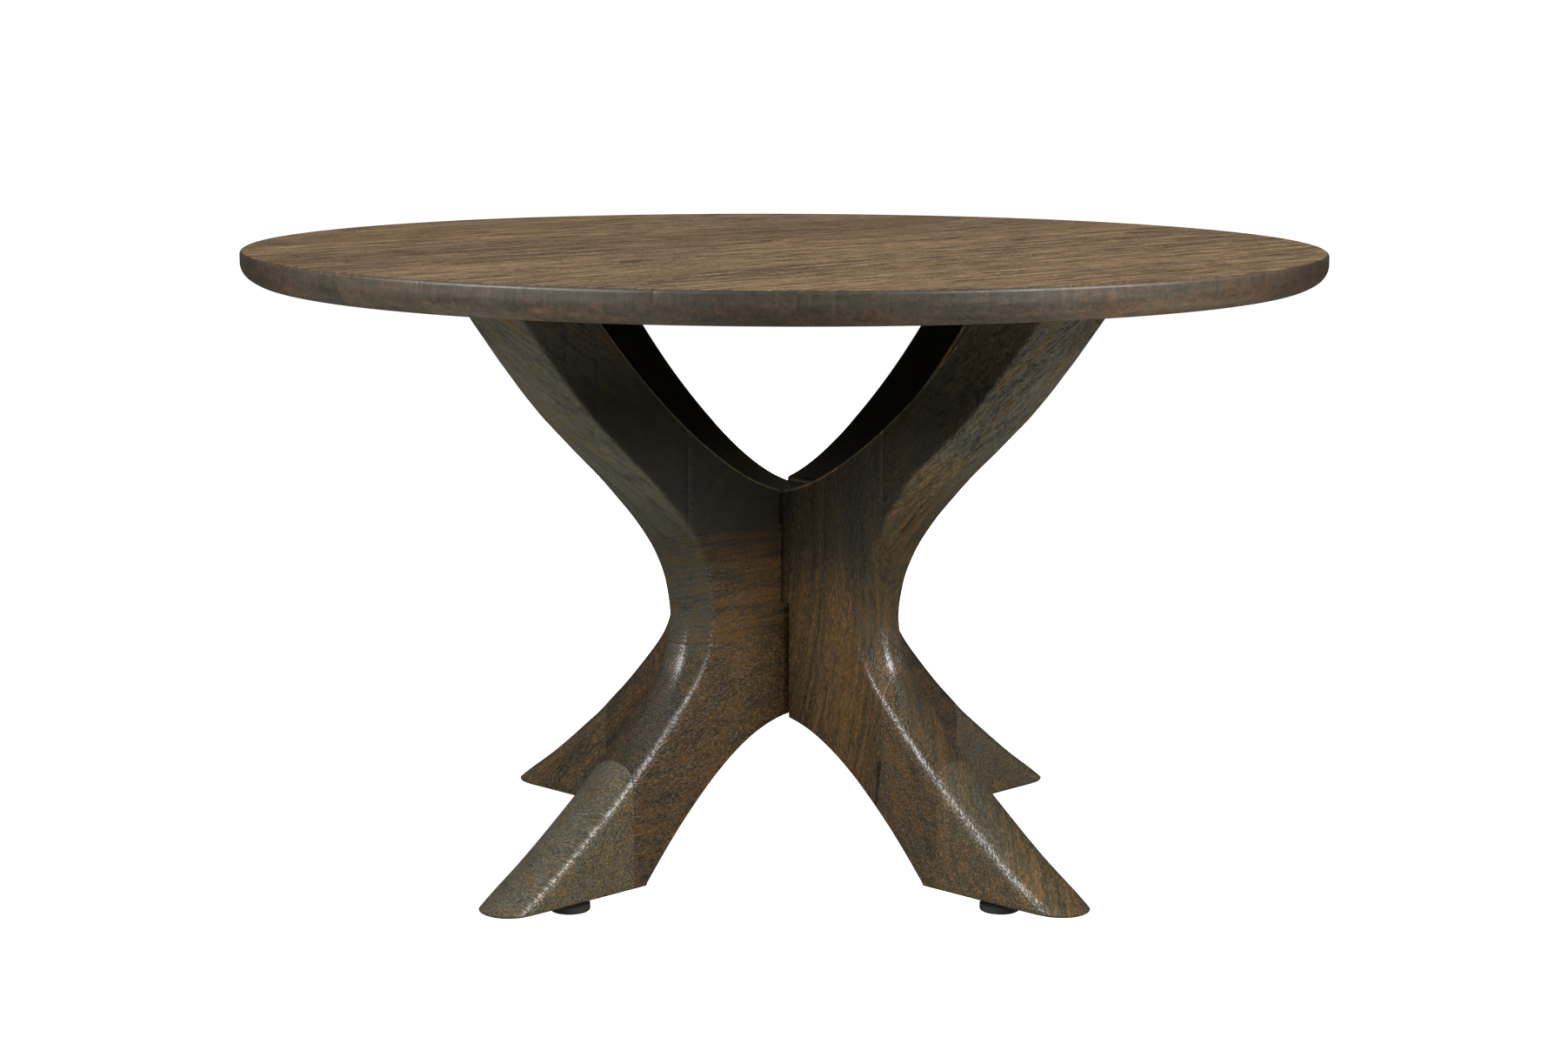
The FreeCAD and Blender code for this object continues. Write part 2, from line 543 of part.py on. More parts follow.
pad_r, pad_e = dim["pad_dia"] / 2.0, dim["pad_edge"]
for side, turn, along in ARMS:
    ang = math.radians(turn)
    at = (dim["glide_at"] * math.cos(ang), dim["glide_at"] * math.sin(ang), 0.0)
    pad = turned_body("pad_" + side, [
        (0.0, 0.0, None, False),
        (pad_r - pad_e, 0.0, "pad_edge", True),
        (pad_r, pad_e, None, False),
        (pad_r, 8.5, None, False),
        (pad_r - 6.0, "pad_high", None, False),
        (dim["pad_neck_dia"] / 2.0, "pad_high", None, False),
        (dim["pad_neck_dia"] / 2.0, "pad_cell_high", None, False),
        (dim["pad_cell_dia"] / 2.0, "pad_cell_high", None, False),
        (dim["pad_cell_dia"] / 2.0, "pad_cell_low", None, False),
        (0.0, "pad_cell_low", None, False),
    ])
    place(pad, "glide_pad_" + side, turn, at)

    # the stem: a disc held inside the pad, a neck, a six-sided collar and a
    # threaded rod shown as a plain cylinder
    stem = turned_body("stem_" + side, [
        (0.0, "disc_low", None, False),
        (dim["disc_dia"] / 2.0, "disc_low", None, False),
        (dim["disc_dia"] / 2.0, "disc_high", None, False),
        (dim["neck_dia"] / 2.0, "disc_high", None, False),
        (dim["neck_dia"] / 2.0, "collar_low", None, False),
        (dim["collar_flats"] / 2.0, "collar_low", None, False),
        (dim["collar_flats"] / 2.0, "collar_high", None, False),
        (dim["thread_dia"] / 2.0, "collar_high", None, False),
        (dim["thread_dia"] / 2.0, dim["stem_top"] - 1.5, None, False),
        (dim["thread_dia"] / 2.0 - 1.5, "stem_top", None, False),
        (0.0, "stem_top", None, False),
    ])
    sk = stem.newObject("Sketcher::SketchObject", "hex_" + side)
    sk.AttachmentSupport = [([o for o in stem.Origin.OriginFeatures if o.Role == "XY_Plane"][0], "")]
    sk.MapMode = "FlatFace"
    sk.AttachmentOffset = Placement(Vector(0, 0, dim["collar_low"]), Rotation())
    bind(sk, ".AttachmentOffset.Base.z", "collar_low")
    rad = dim["collar_flats"] / math.sqrt(3.0)
    pts = [Vector(rad * math.cos(math.radians(60 * k)), rad * math.sin(math.radians(60 * k)), 0) for k in range(6)]
    ids = [sk.addGeometry(Part.LineSegment(pts[k], pts[(k + 1) % 6]), False) for k in range(6)]
    for k in range(6):
        sk.addConstraint(Sketcher.Constraint("Coincident", ids[k], 2, ids[(k + 1) % 6], 1))
    hexpad = stem.newObject("PartDesign::Pad", "collar_" + side)
    hexpad.Profile = sk
    bind(hexpad, "Length", "collar_high - collar_low")
    doc.recompute()
    place(stem, "glide_stem_" + side, turn, at)

doc.recompute()

# ---------------------------------------------------------------- checks, export
bad = []
for obj in doc.Objects:
    state = [str(s) for s in obj.State]
    if "Invalid" in state or "Error" in state:
        bad.append("%s: %s" % (obj.Name, state))
for obj in nodes:
    if obj.Shape.isNull():
        bad.append("%s: empty" % obj.Label)
    elif not obj.Shape.isValid():
        bad.append("%s: not valid" % obj.Label)
    elif not obj.Shape.Solids:
        bad.append("%s: no solid" % obj.Label)
if bad:
    raise RuntimeError("failed: " + "; ".join(bad))

os.makedirs("parts", exist_ok=True)
total = 0.0
for obj in nodes:
    shape = obj.Shape
    shape.exportStep("parts/%s.step" % obj.Label)
    total += shape.Volume
    bb = shape.BoundBox
    print("%-34s solids %d  volume %10.0f mm3  x %.1f..%.1f  y %.1f..%.1f  z %.1f..%.1f" % (
        obj.Label, len(shape.Solids), shape.Volume, bb.XMin, bb.XMax, bb.YMin, bb.YMax, bb.ZMin, bb.ZMax))
print("nodes", len(nodes), "volume", round(total / 1e9, 5), "m3")
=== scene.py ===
import math

import bmesh
import bpy
import numpy as np
from mathutils import Matrix, Vector


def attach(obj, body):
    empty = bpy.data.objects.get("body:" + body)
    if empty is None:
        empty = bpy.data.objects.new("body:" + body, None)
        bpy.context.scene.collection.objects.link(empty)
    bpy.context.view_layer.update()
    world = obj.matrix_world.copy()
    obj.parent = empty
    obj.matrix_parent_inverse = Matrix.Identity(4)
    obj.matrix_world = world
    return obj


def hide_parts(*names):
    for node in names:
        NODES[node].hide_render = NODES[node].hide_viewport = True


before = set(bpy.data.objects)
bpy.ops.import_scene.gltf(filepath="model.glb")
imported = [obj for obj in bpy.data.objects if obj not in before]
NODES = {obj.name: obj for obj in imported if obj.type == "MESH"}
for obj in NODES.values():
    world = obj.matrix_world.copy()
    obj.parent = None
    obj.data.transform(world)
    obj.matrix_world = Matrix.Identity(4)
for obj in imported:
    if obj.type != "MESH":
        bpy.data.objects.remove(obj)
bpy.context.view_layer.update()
MM = 0.001
scene = bpy.context.scene

# =====================================================================
# curves of the crossed slabs, in millimetres
# =====================================================================


def spline(xs, ys):
    """Natural cubic spline through the points."""
    xs, ys = np.array(xs, float), np.array(ys, float)
    n = len(xs)
    h = np.diff(xs)
    a = np.zeros((n, n))
    b = np.zeros(n)
    a[0, 0] = a[-1, -1] = 1.0
    for i in range(1, n - 1):
        a[i, i - 1], a[i, i], a[i, i + 1] = h[i - 1], 2 * (h[i - 1] + h[i]), h[i]
        b[i] = 6 * ((ys[i + 1] - ys[i]) / h[i] - (ys[i] - ys[i - 1]) / h[i - 1])
    m = np.linalg.solve(a, b)

    def f(x):
        x = np.asarray(x, float)
        i = np.clip(np.searchsorted(xs, x) - 1, 0, n - 2)
        d0, d1, hh = x - xs[i], xs[i + 1] - x, h[i]
        return (m[i] * d1 ** 3 + m[i + 1] * d0 ** 3) / (6 * hh) + (ys[i] / hh - m[i] * hh / 6) * d1 + (ys[i + 1] / hh - m[i + 1] * hh / 6) * d0
    return f


Z_W = [18, 30, 45, 60, 80, 100, 120, 140, 160, 180, 200, 220, 240, 260, 280, 300, 320, 340, 360, 380, 400, 420,
       440, 460, 480, 500, 520, 540, 560, 580, 600, 620, 640, 660, 680, 700, 728]
V_W = [475, 458.5, 436, 413, 384.5, 357, 330, 303.5, 280.5, 257.5, 236.5, 216.5, 197.5, 181, 170, 164, 160.5, 161,
       165, 171, 180.5, 193, 209, 227, 247.5, 268, 290.5, 314, 336.5, 358.5, 378.5, 397.5, 415, 432.5, 449, 465.5, 488]
ridge_w = spline(Z_W, V_W)                      # where the flat side ends, half width at height z


def smooth01(t):
    t = np.clip(t, 0, 1)
    return t * t * (3 - 2 * t)


def table1(zs, vs):
    return lambda z: np.interp(z, zs, vs)


nose_c = table1([18, 200, 260, 300, 400, 440, 480, 520, 560, 722], [20, 20, 21, 22, 22, 19, 16, 14, 13, 13])
T2 = 36.8                                       # half thickness of a slab
V_U = [0, 62, 112, 168, 259, 360, 372]
V_Z = [469.2, 480.1, 503.0, 539.3, 615.3, 722.4, 735.6]
A_U = [0, 82, 155, 222, 270, 276]
A_Z = [192.5, 176.7, 132.4, 71.5, 18.4, 11.4]
vee = spline([-u for u in V_U[:0:-1]] + V_U, V_Z[:0:-1] + V_Z)
arch = spline([-u for u in A_U[:0:-1]] + A_U, A_Z[:0:-1] + A_Z)

FOOT_Z, TOP_Z, LAP_Z = 18.0, 722.0, 333.0
EASE = 3.2                                      # rounding of the inner edges


def curve_rows(fn, u0, u1, n):
    """n + 1 points evenly spaced along z = fn(u), with the curve's slope at each."""
    uu = np.linspace(u0, u1, 600)
    zz = fn(uu)
    s = np.concatenate([[0], np.cumsum(np.hypot(np.diff(uu), np.diff(zz)))])
    u = np.interp(np.linspace(0, s[-1], n + 1), s, uu)
    z = fn(u)
    du = 0.05
    slope = (fn(u + du) - fn(u - du)) / (2 * du)
    return u, z, slope


EXT = 8.0                                       # side face that belongs to the rounding


def resample(px, py, m):
    s = np.concatenate([[0], np.cumsum(np.hypot(np.diff(px), np.diff(py)))])
    t = np.linspace(0, s[-1], m)
    return np.interp(t, s, px), np.interp(t, s, py), s[-1]


def nose_section(z, reach_p, reach_m, n=36, soft=1.0):
    """Section of the outer edge in a horizontal cut at height z: points (x, v)
    from the +v side round to the -v side, x counted outward from the ridge.
    Low on the legs it is a full D between two crisp arrises; from the waist up
    it is a chamfered edge whose chamfers reach further over the side faces."""
    m = 421
    c = float(nose_c(z))
    b = c + 0.5
    rad = (T2 * T2 + b * b) / (2 * b)
    half = math.asin(T2 / rad)
    ang = np.linspace(half, -half, 81)
    dx = np.concatenate([[-EXT], rad * np.cos(ang) - (rad - b), [-EXT]])
    dv = np.concatenate([[T2], rad * np.sin(ang), [-T2]])
    dx, dv, _ = resample(dx, dv, m)
    cx, cv, _ = resample([-reach_p - EXT, -reach_p, c * 0.97, c, c * 0.97, -reach_m, -reach_m - EXT],
                         [T2, T2, T2 - c, 0.0, -(T2 - c), -T2, -T2], m)
    d = float(1 - smooth01((z - 190) / 95))
    x, v = cx * (1 - d) + dx * d, cv * (1 - d) + dv * d
    x, v, length = resample(x, v, m)
    # round every corner: a double running mean, straight at both ends
    width = 23.0 * (1 + (soft - 1) * float(1 - smooth01((z - 60) / 130)))
    width = width - 13.0 * float(smooth01((z - 170) / 120))
    k = max(int(round(width / 2 / (length / (m - 1)))), 1)
    kern = np.ones(2 * k + 1) / (2 * k + 1)
    for _ in range(2):
        gx = np.convolve(np.concatenate([x[0] - (np.arange(k, 0, -1)) * (x[1] - x[0]), x, x[-1] + np.arange(1, k + 1) * (x[-1] - x[-2])]), kern, "valid")
        gv = np.convolve(np.concatenate([v[0] - (np.arange(k, 0, -1)) * (v[1] - v[0]), v, v[-1] + np.arange(1, k + 1) * (v[-1] - v[-2])]), kern, "valid")
        x, v = gx, gv
    # more points where it turns
    seg = np.hypot(np.diff(x), np.diff(v))
    head = np.unwrap(np.arctan2(np.diff(v), np.diff(x)))
    turn = np.abs(np.diff(head))
    turn = np.concatenate([[turn[0]], turn])
    wgt = seg / seg.sum() + 1.1 * turn / turn.sum()
    s = np.concatenate([[0], np.cumsum(wgt)])
    t = np.linspace(0, s[-1], n + 1)
    return np.interp(t, s, x), np.interp(t, s, v)


def slab_mesh(reach, soft=1.0):
    """One whole crossed slab as a closed mesh in its own frame (u along X, the
    thickness along Y), with reach(side, face, z) giving how far a chamfer
    runs over a side face. Returns a bmesh in millimetres."""
    bm = bmesh.new()
    n1, n2, n3, nc, nn = 76, 40, 64, 12, 36
    z_a, z_b = 262.0, 402.0
    # outer heights of the rows
    zo1 = FOOT_Z + 3.0 + (z_a - FOOT_Z - 3.0) * np.linspace(0, 1, n1 + 1) ** 0.96
    zo2 = np.linspace(z_a, z_b, n2 + 1)[1:]
    zo3 = z_b + (TOP_Z - z_b) * np.linspace(0, 1, n3 + 1)[1:]
    u1, zi1, sl1 = curve_rows(arch, 267.9, 0.0, n1)
    zi2 = np.linspace(192.5 + EASE, 469.2 - EASE, n2 + 1)[1:]
    u3, zi3, sl3 = curve_rows(vee, 0.0, 359.75, n3)
    u3, zi3, sl3 = u3[1:], zi3[1:], sl3[1:]
    rows = []
    for j in range(n1 + 1):
        nrm = np.array([sl1[j], -1.0]) if False else np.array([-sl1[j], 1.0])
        nrm = nrm / np.hypot(*nrm)
        if j == n1:
            nrm = np.array([0.0, 1.0])
        rows.append((zo1[j], (u1[j], zi1[j]), nrm, "arch"))
    for j in range(n2):
        edge = j == n2 - 1
        if edge:
            rows.append((zo2[j], (0.0, 469.2), np.array([0.0, -1.0]), "vee"))
        else:
            rows.append((zo2[j], (0.0, zi2[j]), None, "mid"))
    for j in range(n3):
        nrm = np.array([sl3[j], -1.0])
        nrm = nrm / np.hypot(*nrm)
        rows.append((zo3[j], (u3[j], zi3[j]), nrm, "vee"))
    tcol = np.linspace(0, 1, nc + 1)
    centre = {}

    def vert(u, v, z, key=None):
        if key is not None and key in centre:
            return centre[key]
        o = bm.verts.new((u, v, z))
        if key is not None:
            centre[key] = o
        return o

    na, ni = 5, 6
    ends = {}
    for side in (-1, 1):
        grid = []
        for j, (z, inner, nrm, kind) in enumerate(rows):
            w = float(ridge_w(z))
            rp, rm = reach(side, 1, z), reach(side, -1, z)
            x, v = nose_section(z, rp, rm, nn, soft)
            line = []
            if kind == "mid":
                start_p = start_m = inner
            else:
                start_p = start_m = (inner[0] + nrm[0] * EASE, inner[1] + nrm[1] * EASE)
            # +v side: inner edge to ridge
            for face, reach_f, first in ((1, x[0], start_p), (-1, x[-1], start_m)):
                col = []
                for i, t in enumerate(tcol):
                    uu = first[0] + (w + reach_f - first[0]) * t
                    zz = first[1] + (z - first[1]) * t
                    key = None
                    if abs(uu) < 1e-9 and i == 0:
                        key = (j, face)
                    if i == nc:
                        col.append(None)
                    else:
                        col.append(vert(side * uu, face * T2, zz, key))
                line.append(col)
            nose = [vert(side * (w + x[k]), v[k], z) for k in range(nn + 1)]
            line[0][-1], line[1][-1] = nose[0], nose[-1]
            strip = None
            if kind != "mid":
                strip = [line[0][0]]
                for k in range(1, na + 1):
                    ph = math.pi / 2 * k / na
                    d, vv = EASE * (1 - math.sin(ph)), T2 - EASE + EASE * math.cos(ph)
                    key = (j, "s", len(strip)) if inner[0] == 0.0 else None
                    strip.append(vert(side * (inner[0] + nrm[0] * d), vv, inner[1] + nrm[1] * d, key))
                for k in range(1, ni):
                    vv = (T2 - EASE) * (1 - 2 * k / ni)
                    key = (j, "s", len(strip)) if inner[0] == 0.0 else None
                    strip.append(vert(side * inner[0], vv, inner[1], key))
                for k in range(na, 0, -1):
                    ph = math.pi / 2 * k / na
                    d, vv = EASE * (1 - math.sin(ph)), -(T2 - EASE + EASE * math.cos(ph))
                    key = (j, "s", len(strip)) if inner[0] == 0.0 else None
                    strip.append(vert(side * (inner[0] + nrm[0] * d), vv, inner[1] + nrm[1] * d, key))
                strip.append(line[1][0])
            grid.append((line, nose, strip))

        def quad(a, b, c, d, flip):
            vs = [a, b, c, d]
            vs = [p for i, p in enumerate(vs) if p not in vs[:i]]
            if len(vs) < 3:
                return
            if flip:
                vs.reverse()
            try:
                bm.faces.new(vs)
            except ValueError:
                pass

        for j in range(len(grid) - 1):
            (l0, n0, s0), (l1, n1_, s1) = grid[j], grid[j + 1]
            for i in range(nc):
                quad(l0[0][i], l0[0][i + 1], l1[0][i + 1], l1[0][i], side == 1)
                quad(l0[1][i], l0[1][i + 1], l1[1][i + 1], l1[1][i], side == -1)
            for i in range(nn):
                quad(n0[i], n0[i + 1], n1_[i + 1], n1_[i], side == 1)
            if s0 is not None and s1 is not None:
                for i in range(len(s0) - 1):
                    quad(s0[i], s0[i + 1], s1[i + 1], s1[i], side == -1)
        # foot: a rounded rim, then the flat sole
        line, nose, strip = grid[0]
        loop = line[0][:-1] + nose + line[1][-2::-1] + strip[-2:0:-1]
        co = np.array([(p.co.x, p.co.y) for p in loop])
        nxt, prv = np.roll(co, -1, 0), np.roll(co, 1, 0)
        t = nxt - prv
        t /= np.maximum(np.hypot(t[:, 0], t[:, 1]), 1e-9)[:, None]
        out = np.stack([t[:, 1], -t[:, 0]], 1)
        mid = co.mean(0)
        if ((co - mid) * out).sum() < 0:
            out = -out
        prev = loop
        for k in range(1, 5):
            ph = math.pi / 2 * k / 4
            ring = [bm.verts.new((c[0] - o[0] * 3.0 * (1 - math.cos(ph)), c[1] - o[1] * 3.0 * (1 - math.cos(ph)),
                                  FOOT_Z + 3.0 * (1 - math.sin(ph)))) for c, o in zip(co, out)]
            for i in range(len(loop)):
                i2 = (i + 1) % len(loop)
                quad(prev[i], prev[i2], ring[i2], ring[i], side == -1)
            prev = ring
        bm.faces.new(prev if side == -1 else prev[::-1])
        # arm's end
        line, nose, strip = grid[-1]
        loop = line[0][:-1] + nose + line[1][-2::-1] + strip[-2:0:-1]
        bm.faces.new(loop[::-1] if side == -1 else loop)
        ends[side] = grid
    bmesh.ops.remove_doubles(bm, verts=bm.verts, dist=1e-5)
    bmesh.ops.recalc_face_normals(bm, faces=bm.faces)
    bm.normal_update()
    return bm


def ease_and_cut(bm, point, normal, radius, steps):
    """Cuts the mesh on a plane, keeps the side the normal points to, closes the
    cut and rounds the new rim by radius."""
    p, n = Vector(point), Vector(normal).normalized()
    dist = sorted({radius * (1 - math.cos(math.pi / 2 * k / steps)) for k in range(steps + 1)})
    for d in dist:
        g = bm.verts[:] + bm.edges[:] + bm.faces[:]
        bmesh.ops.bisect_plane(bm, geom=g, dist=1e-5, plane_co=p + n * d, plane_no=n)
    bm.normal_update()
    moves = []
    for v in bm.verts:
        d = (v.co - p).dot(n)
        if -1e-4 <= d < radius - 1e-6:
            d = max(d, 0.0)
            push = radius - math.sqrt(max(radius * radius - (radius - d) ** 2, 0.0))
            dirn = v.normal - n * v.normal.dot(n)
            if dirn.length > 1e-4:
                moves.append((v, dirn.normalized() * push))
    for v, m in moves:
        v.co -= m
    g = bm.verts[:] + bm.edges[:] + bm.faces[:]
    r = bmesh.ops.bisect_plane(bm, geom=g, dist=1e-5, plane_co=p, plane_no=n, clear_inner=True)
    edges = [e for e in bm.edges if e.is_boundary]
    if edges:
        bmesh.ops.holes_fill(bm, edges=edges, sides=0)
        bmesh.ops.triangulate(bm, faces=[f for f in bm.faces if len(f.verts) > 4 and abs(f.normal.dot(n)) > 0.99
                                         and abs((f.calc_center_median() - p).dot(n)) < 0.05])


# =====================================================================
# wood pieces: mesh, grain coordinates, object
# =====================================================================


def make_object(name, bm, angle=None, scale=MM):
    me = bpy.data.meshes.new(name)
    bm.to_mesh(me)
    me.transform(Matrix.Scale(scale, 4))
    for p in me.polygons:
        p.use_smooth = True
    if angle is not None:
        me.set_sharp_from_angle(angle=math.radians(angle))
    ob = bpy.data.objects.new(name, me)
    scene.collection.objects.link(ob)
    return ob


def grain(ob, along, across, offset, tone=0.0, lum=0.0, calm=0.0, bend=0.0):
    """Stores each vertex's place in its board: x along the grain, y across, z
    through, counted from the board's own pith (offset, metres)."""
    a = Vector(along).normalized()
    c = Vector(across)
    c = (c - a * c.dot(a)).normalized()
    d = a.cross(c)
    co = np.empty(len(ob.data.vertices) * 3)
    ob.data.vertices.foreach_get("co", co)
    co = co.reshape(-1, 3)
    m = np.array([a, c, d])
    g = co @ m.T - np.array(offset)
    g[:, 2] += bend * MM
    at = ob.data.attributes.new("gc", "FLOAT_VECTOR", "POINT")
    at.data.foreach_set("vector", g.astype(np.float32).ravel())
    for nm, val in (("tone", tone), ("lum", lum), ("calm", calm)):
        t = ob.data.attributes.new(nm, "FLOAT", "POINT")
        t.data.foreach_set("value", (np.zeros(len(co)) + val).astype(np.float32))
    return ob


def piece(name, bm, node, body, mat, angle=None):
    ob = make_object(name, bm, angle)
    ob.data.materials.append(mat)
    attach(ob, body)
    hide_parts(node)
    return ob


# =====================================================================
# node helpers
# =====================================================================


class Net:
    def __init__(self, name):
        self.mat = bpy.data.materials.new(name)
        self.mat.use_nodes = True
        self.t = self.mat.node_tree
        self.t.nodes.clear()
        self.out = self.t.nodes.new("ShaderNodeOutputMaterial")
        self.bsdf = self.t.nodes.new("ShaderNodeBsdfPrincipled")
        self.t.links.new(self.bsdf.outputs[0], self.out.inputs[0])

    def put(self, socket, v):
        if v is None:
            return
        if isinstance(v, bpy.types.NodeSocket):
            self.t.links.new(v, socket)
        else:
            socket.default_value = v

    def attr(self, name, what="Vector"):
        n = self.t.nodes.new("ShaderNodeAttribute")
        n.attribute_name = name
        return n.outputs[what]

    def math(self, op, a, b=None, c=None, clamp=False):
        n = self.t.nodes.new("ShaderNodeMath")
        n.operation = op
        n.use_clamp = clamp
        self.put(n.inputs[0], a)
        self.put(n.inputs[1], b)
        self.put(n.inputs[2], c)
        return n.outputs[0]

    def vec(self, op, a, b=None, out=0):
        n = self.t.nodes.new("ShaderNodeVectorMath")
        n.operation = op
        self.put(n.inputs[0], a)
        if b is not None:
            self.put(n.inputs[3 if op == "SCALE" else 1], b)
        return n.outputs[out]

    def noise(self, v, scale=1.0, detail=2.0, rough=0.5, distort=0.0, out=0, lac=2.0):
        n = self.t.nodes.new("ShaderNodeTexNoise")
        self.put(n.inputs["Vector"], v)
        n.inputs["Scale"].default_value = scale
        n.inputs["Detail"].default_value = detail
        n.inputs["Roughness"].default_value = rough
        n.inputs["Lacunarity"].default_value = lac
        n.inputs["Distortion"].default_value = distort
        return n.outputs[out]

    def voronoi(self, v, scale=1.0, feature="F1", rand=1.0, out=0):
        n = self.t.nodes.new("ShaderNodeTexVoronoi")
        n.feature = feature
        self.put(n.inputs["Vector"], v)
        n.inputs["Scale"].default_value = scale
        n.inputs["Randomness"].default_value = rand
        return n.outputs[out]

    def span(self, v, a, b, lo=0.0, hi=1.0, smooth=False):
        n = self.t.nodes.new("ShaderNodeMapRange")
        n.interpolation_type = "SMOOTHSTEP" if smooth else "LINEAR"
        n.clamp = True
        self.put(n.inputs[0], v)
        n.inputs[1].default_value, n.inputs[2].default_value = a, b
        n.inputs[3].default_value, n.inputs[4].default_value = lo, hi
        return n.outputs[0]

    def ramp(self, v, stops, interp="LINEAR"):
        n = self.t.nodes.new("ShaderNodeValToRGB")
        n.color_ramp.interpolation = interp
        el = n.color_ramp.elements
        while len(el) > 1:
            el.remove(el[-1])
        el[0].position, el[0].color = stops[0][0], (*stops[0][1], 1)
        for pos, col in stops[1:]:
            e = el.new(pos)
            e.color = (*col, 1)
        self.put(n.inputs[0], v)
        return n.outputs[0]

    def mix(self, fac, a, b, mode="MIX"):
        n = self.t.nodes.new("ShaderNodeMix")
        n.data_type = "RGBA"
        n.blend_type = mode
        n.clamp_factor = True
        self.put(n.inputs[0], fac)
        self.put(n.inputs[6], a if isinstance(a, bpy.types.NodeSocket) else (*a, 1))
        self.put(n.inputs[7], b if isinstance(b, bpy.types.NodeSocket) else (*b, 1))
        return n.outputs[2]

    def xyz(self, v):
        n = self.t.nodes.new("ShaderNodeSeparateXYZ")
        self.put(n.inputs[0], v)
        return n.outputs

    def join(self, x, y, z):
        n = self.t.nodes.new("ShaderNodeCombineXYZ")
        for s, v in zip(n.inputs, (x, y, z)):
            self.put(s, v)
        return n.outputs[0]

    def bump(self, height, distance, strength=1.0, under=None):
        n = self.t.nodes.new("ShaderNodeBump")
        n.inputs["Strength"].default_value = strength
        n.inputs["Distance"].default_value = distance
        self.put(n.inputs["Height"], height)
        if under is not None:
            self.put(n.inputs["Normal"], under)
        return n.outputs[0]

    def set(self, **kw):
        for k, v in kw.items():
            self.put(self.bsdf.inputs[k.replace("_", " ")], v)


def srgb(r, g, b):
    f = lambda c: (c / 255 / 12.92) if c / 255 <= 0.04045 else ((c / 255 + 0.055) / 1.055) ** 2.4
    return (f(r), f(g), f(b))


def fibre_fields(m, gc, ring_gap, eyes=(), uv=None):
    """Patterns shared by all the wood: solid, in the board's own metres."""
    low = m.noise(m.vec("MULTIPLY", gc, (1.3, 5.0, 5.0)), 1.0, 2.0, 0.5, out=1)
    p = m.vec("ADD", gc, m.vec("MULTIPLY", m.vec("SUBTRACT", low, (0.5, 0.5, 0.5)), (0.0, 0.055, 0.055)))
    knot = None
    for e in eyes:
        p, k = eye(m, p, uv[0], uv[1], *e)
        knot = k if knot is None else m.math("MAXIMUM", knot, k)
    px, py, pz = m.xyz(p)
    radius = m.math("SQRT", m.math("ADD", m.math("MULTIPLY", py, py), m.math("MULTIPLY", pz, pz)))
    ripple = m.noise(m.vec("MULTIPLY", p, (2.4, 24.0, 24.0)), 1.0, 2.0, 0.5)
    turns = m.math("ADD", m.math("DIVIDE", radius, ring_gap), m.math("MULTIPLY", ripple, 2.4))
    saw = m.math("FRACT", turns)
    late = m.math("MULTIPLY", m.math("POWER", saw, 2.0), m.span(saw, 0.9, 1.0, 1.0, 0.0, True))
    each = m.noise(m.join(m.math("FLOOR", turns), m.math("MULTIPLY", px, 1.6), 0.0), 0.63, 1.0, 0.5)
    late = m.math("MULTIPLY", late, m.span(each, 0.3, 0.7, 0.1, 1.0))
    streak = m.span(m.noise(m.vec("MULTIPLY", p, (2.6, 60.0, 60.0)), 1.0, 3.0, 0.6), 0.28, 0.72)
    rib = m.span(m.noise(m.vec("MULTIPLY", p, (2.8, 118.0, 118.0)), 1.0, 1.0, 0.5), 0.32, 0.68)
    fibre = m.span(m.noise(m.vec("MULTIPLY", p, (20.0, 150.0, 150.0)), 1.0, 1.0, 0.5), 0.28, 0.72)
    speck = m.span(m.noise(m.vec("MULTIPLY", p, (190.0, 520.0, 520.0)), 1.0, 1.0, 0.55), 0.30, 0.70)
    dash = m.noise(m.vec("MULTIPLY", p, (60.0, 500.0, 500.0)), 1.0, 1.0, 0.5)
    bed = m.noise(m.vec("MULTIPLY", p, (8.0, 45.0, 45.0)), 1.0, 2.0, 0.5)
    pore = m.span(m.math("ADD", dash, m.math("MULTIPLY", m.math("SUBTRACT", bed, 0.5), 0.35)), 0.53, 0.62, 0.0, 1.0, True)
    return p, late, streak, rib, fibre, speck, pore, knot


def mark(m, x, y, x0, y0, x1, y1, width, wobble=0.0):
    """1 on a wavering line between two points of a plane, 0 beyond width."""
    dx, dy = x1 - x0, y1 - y0
    ll = dx * dx + dy * dy
    ax, ay = m.math("SUBTRACT", x, x0), m.math("SUBTRACT", y, y0)
    t = m.math("DIVIDE", m.math("ADD", m.math("MULTIPLY", ax, dx), m.math("MULTIPLY", ay, dy)), ll, clamp=True)
    ex = m.math("SUBTRACT", ax, m.math("MULTIPLY", t, dx))
    ey = m.math("SUBTRACT", ay, m.math("MULTIPLY", t, dy))
    if wobble:
        n = m.noise(m.join(x, y, 0.0), 1.0 / (8 * wobble), 2.0, 0.6)
        ex = m.math("ADD", ex, m.math("MULTIPLY", m.math("SUBTRACT", n, 0.5), wobble * 2))
        ey = m.math("ADD", ey, m.math("MULTIPLY", m.math("SUBTRACT", n, 0.5), wobble * 2))
    d = m.math("SQRT", m.math("ADD", m.math("MULTIPLY", ex, ex), m.math("MULTIPLY", ey, ey)))
    return m.span(d, width * 0.25, width, 1.0, 0.0, True)


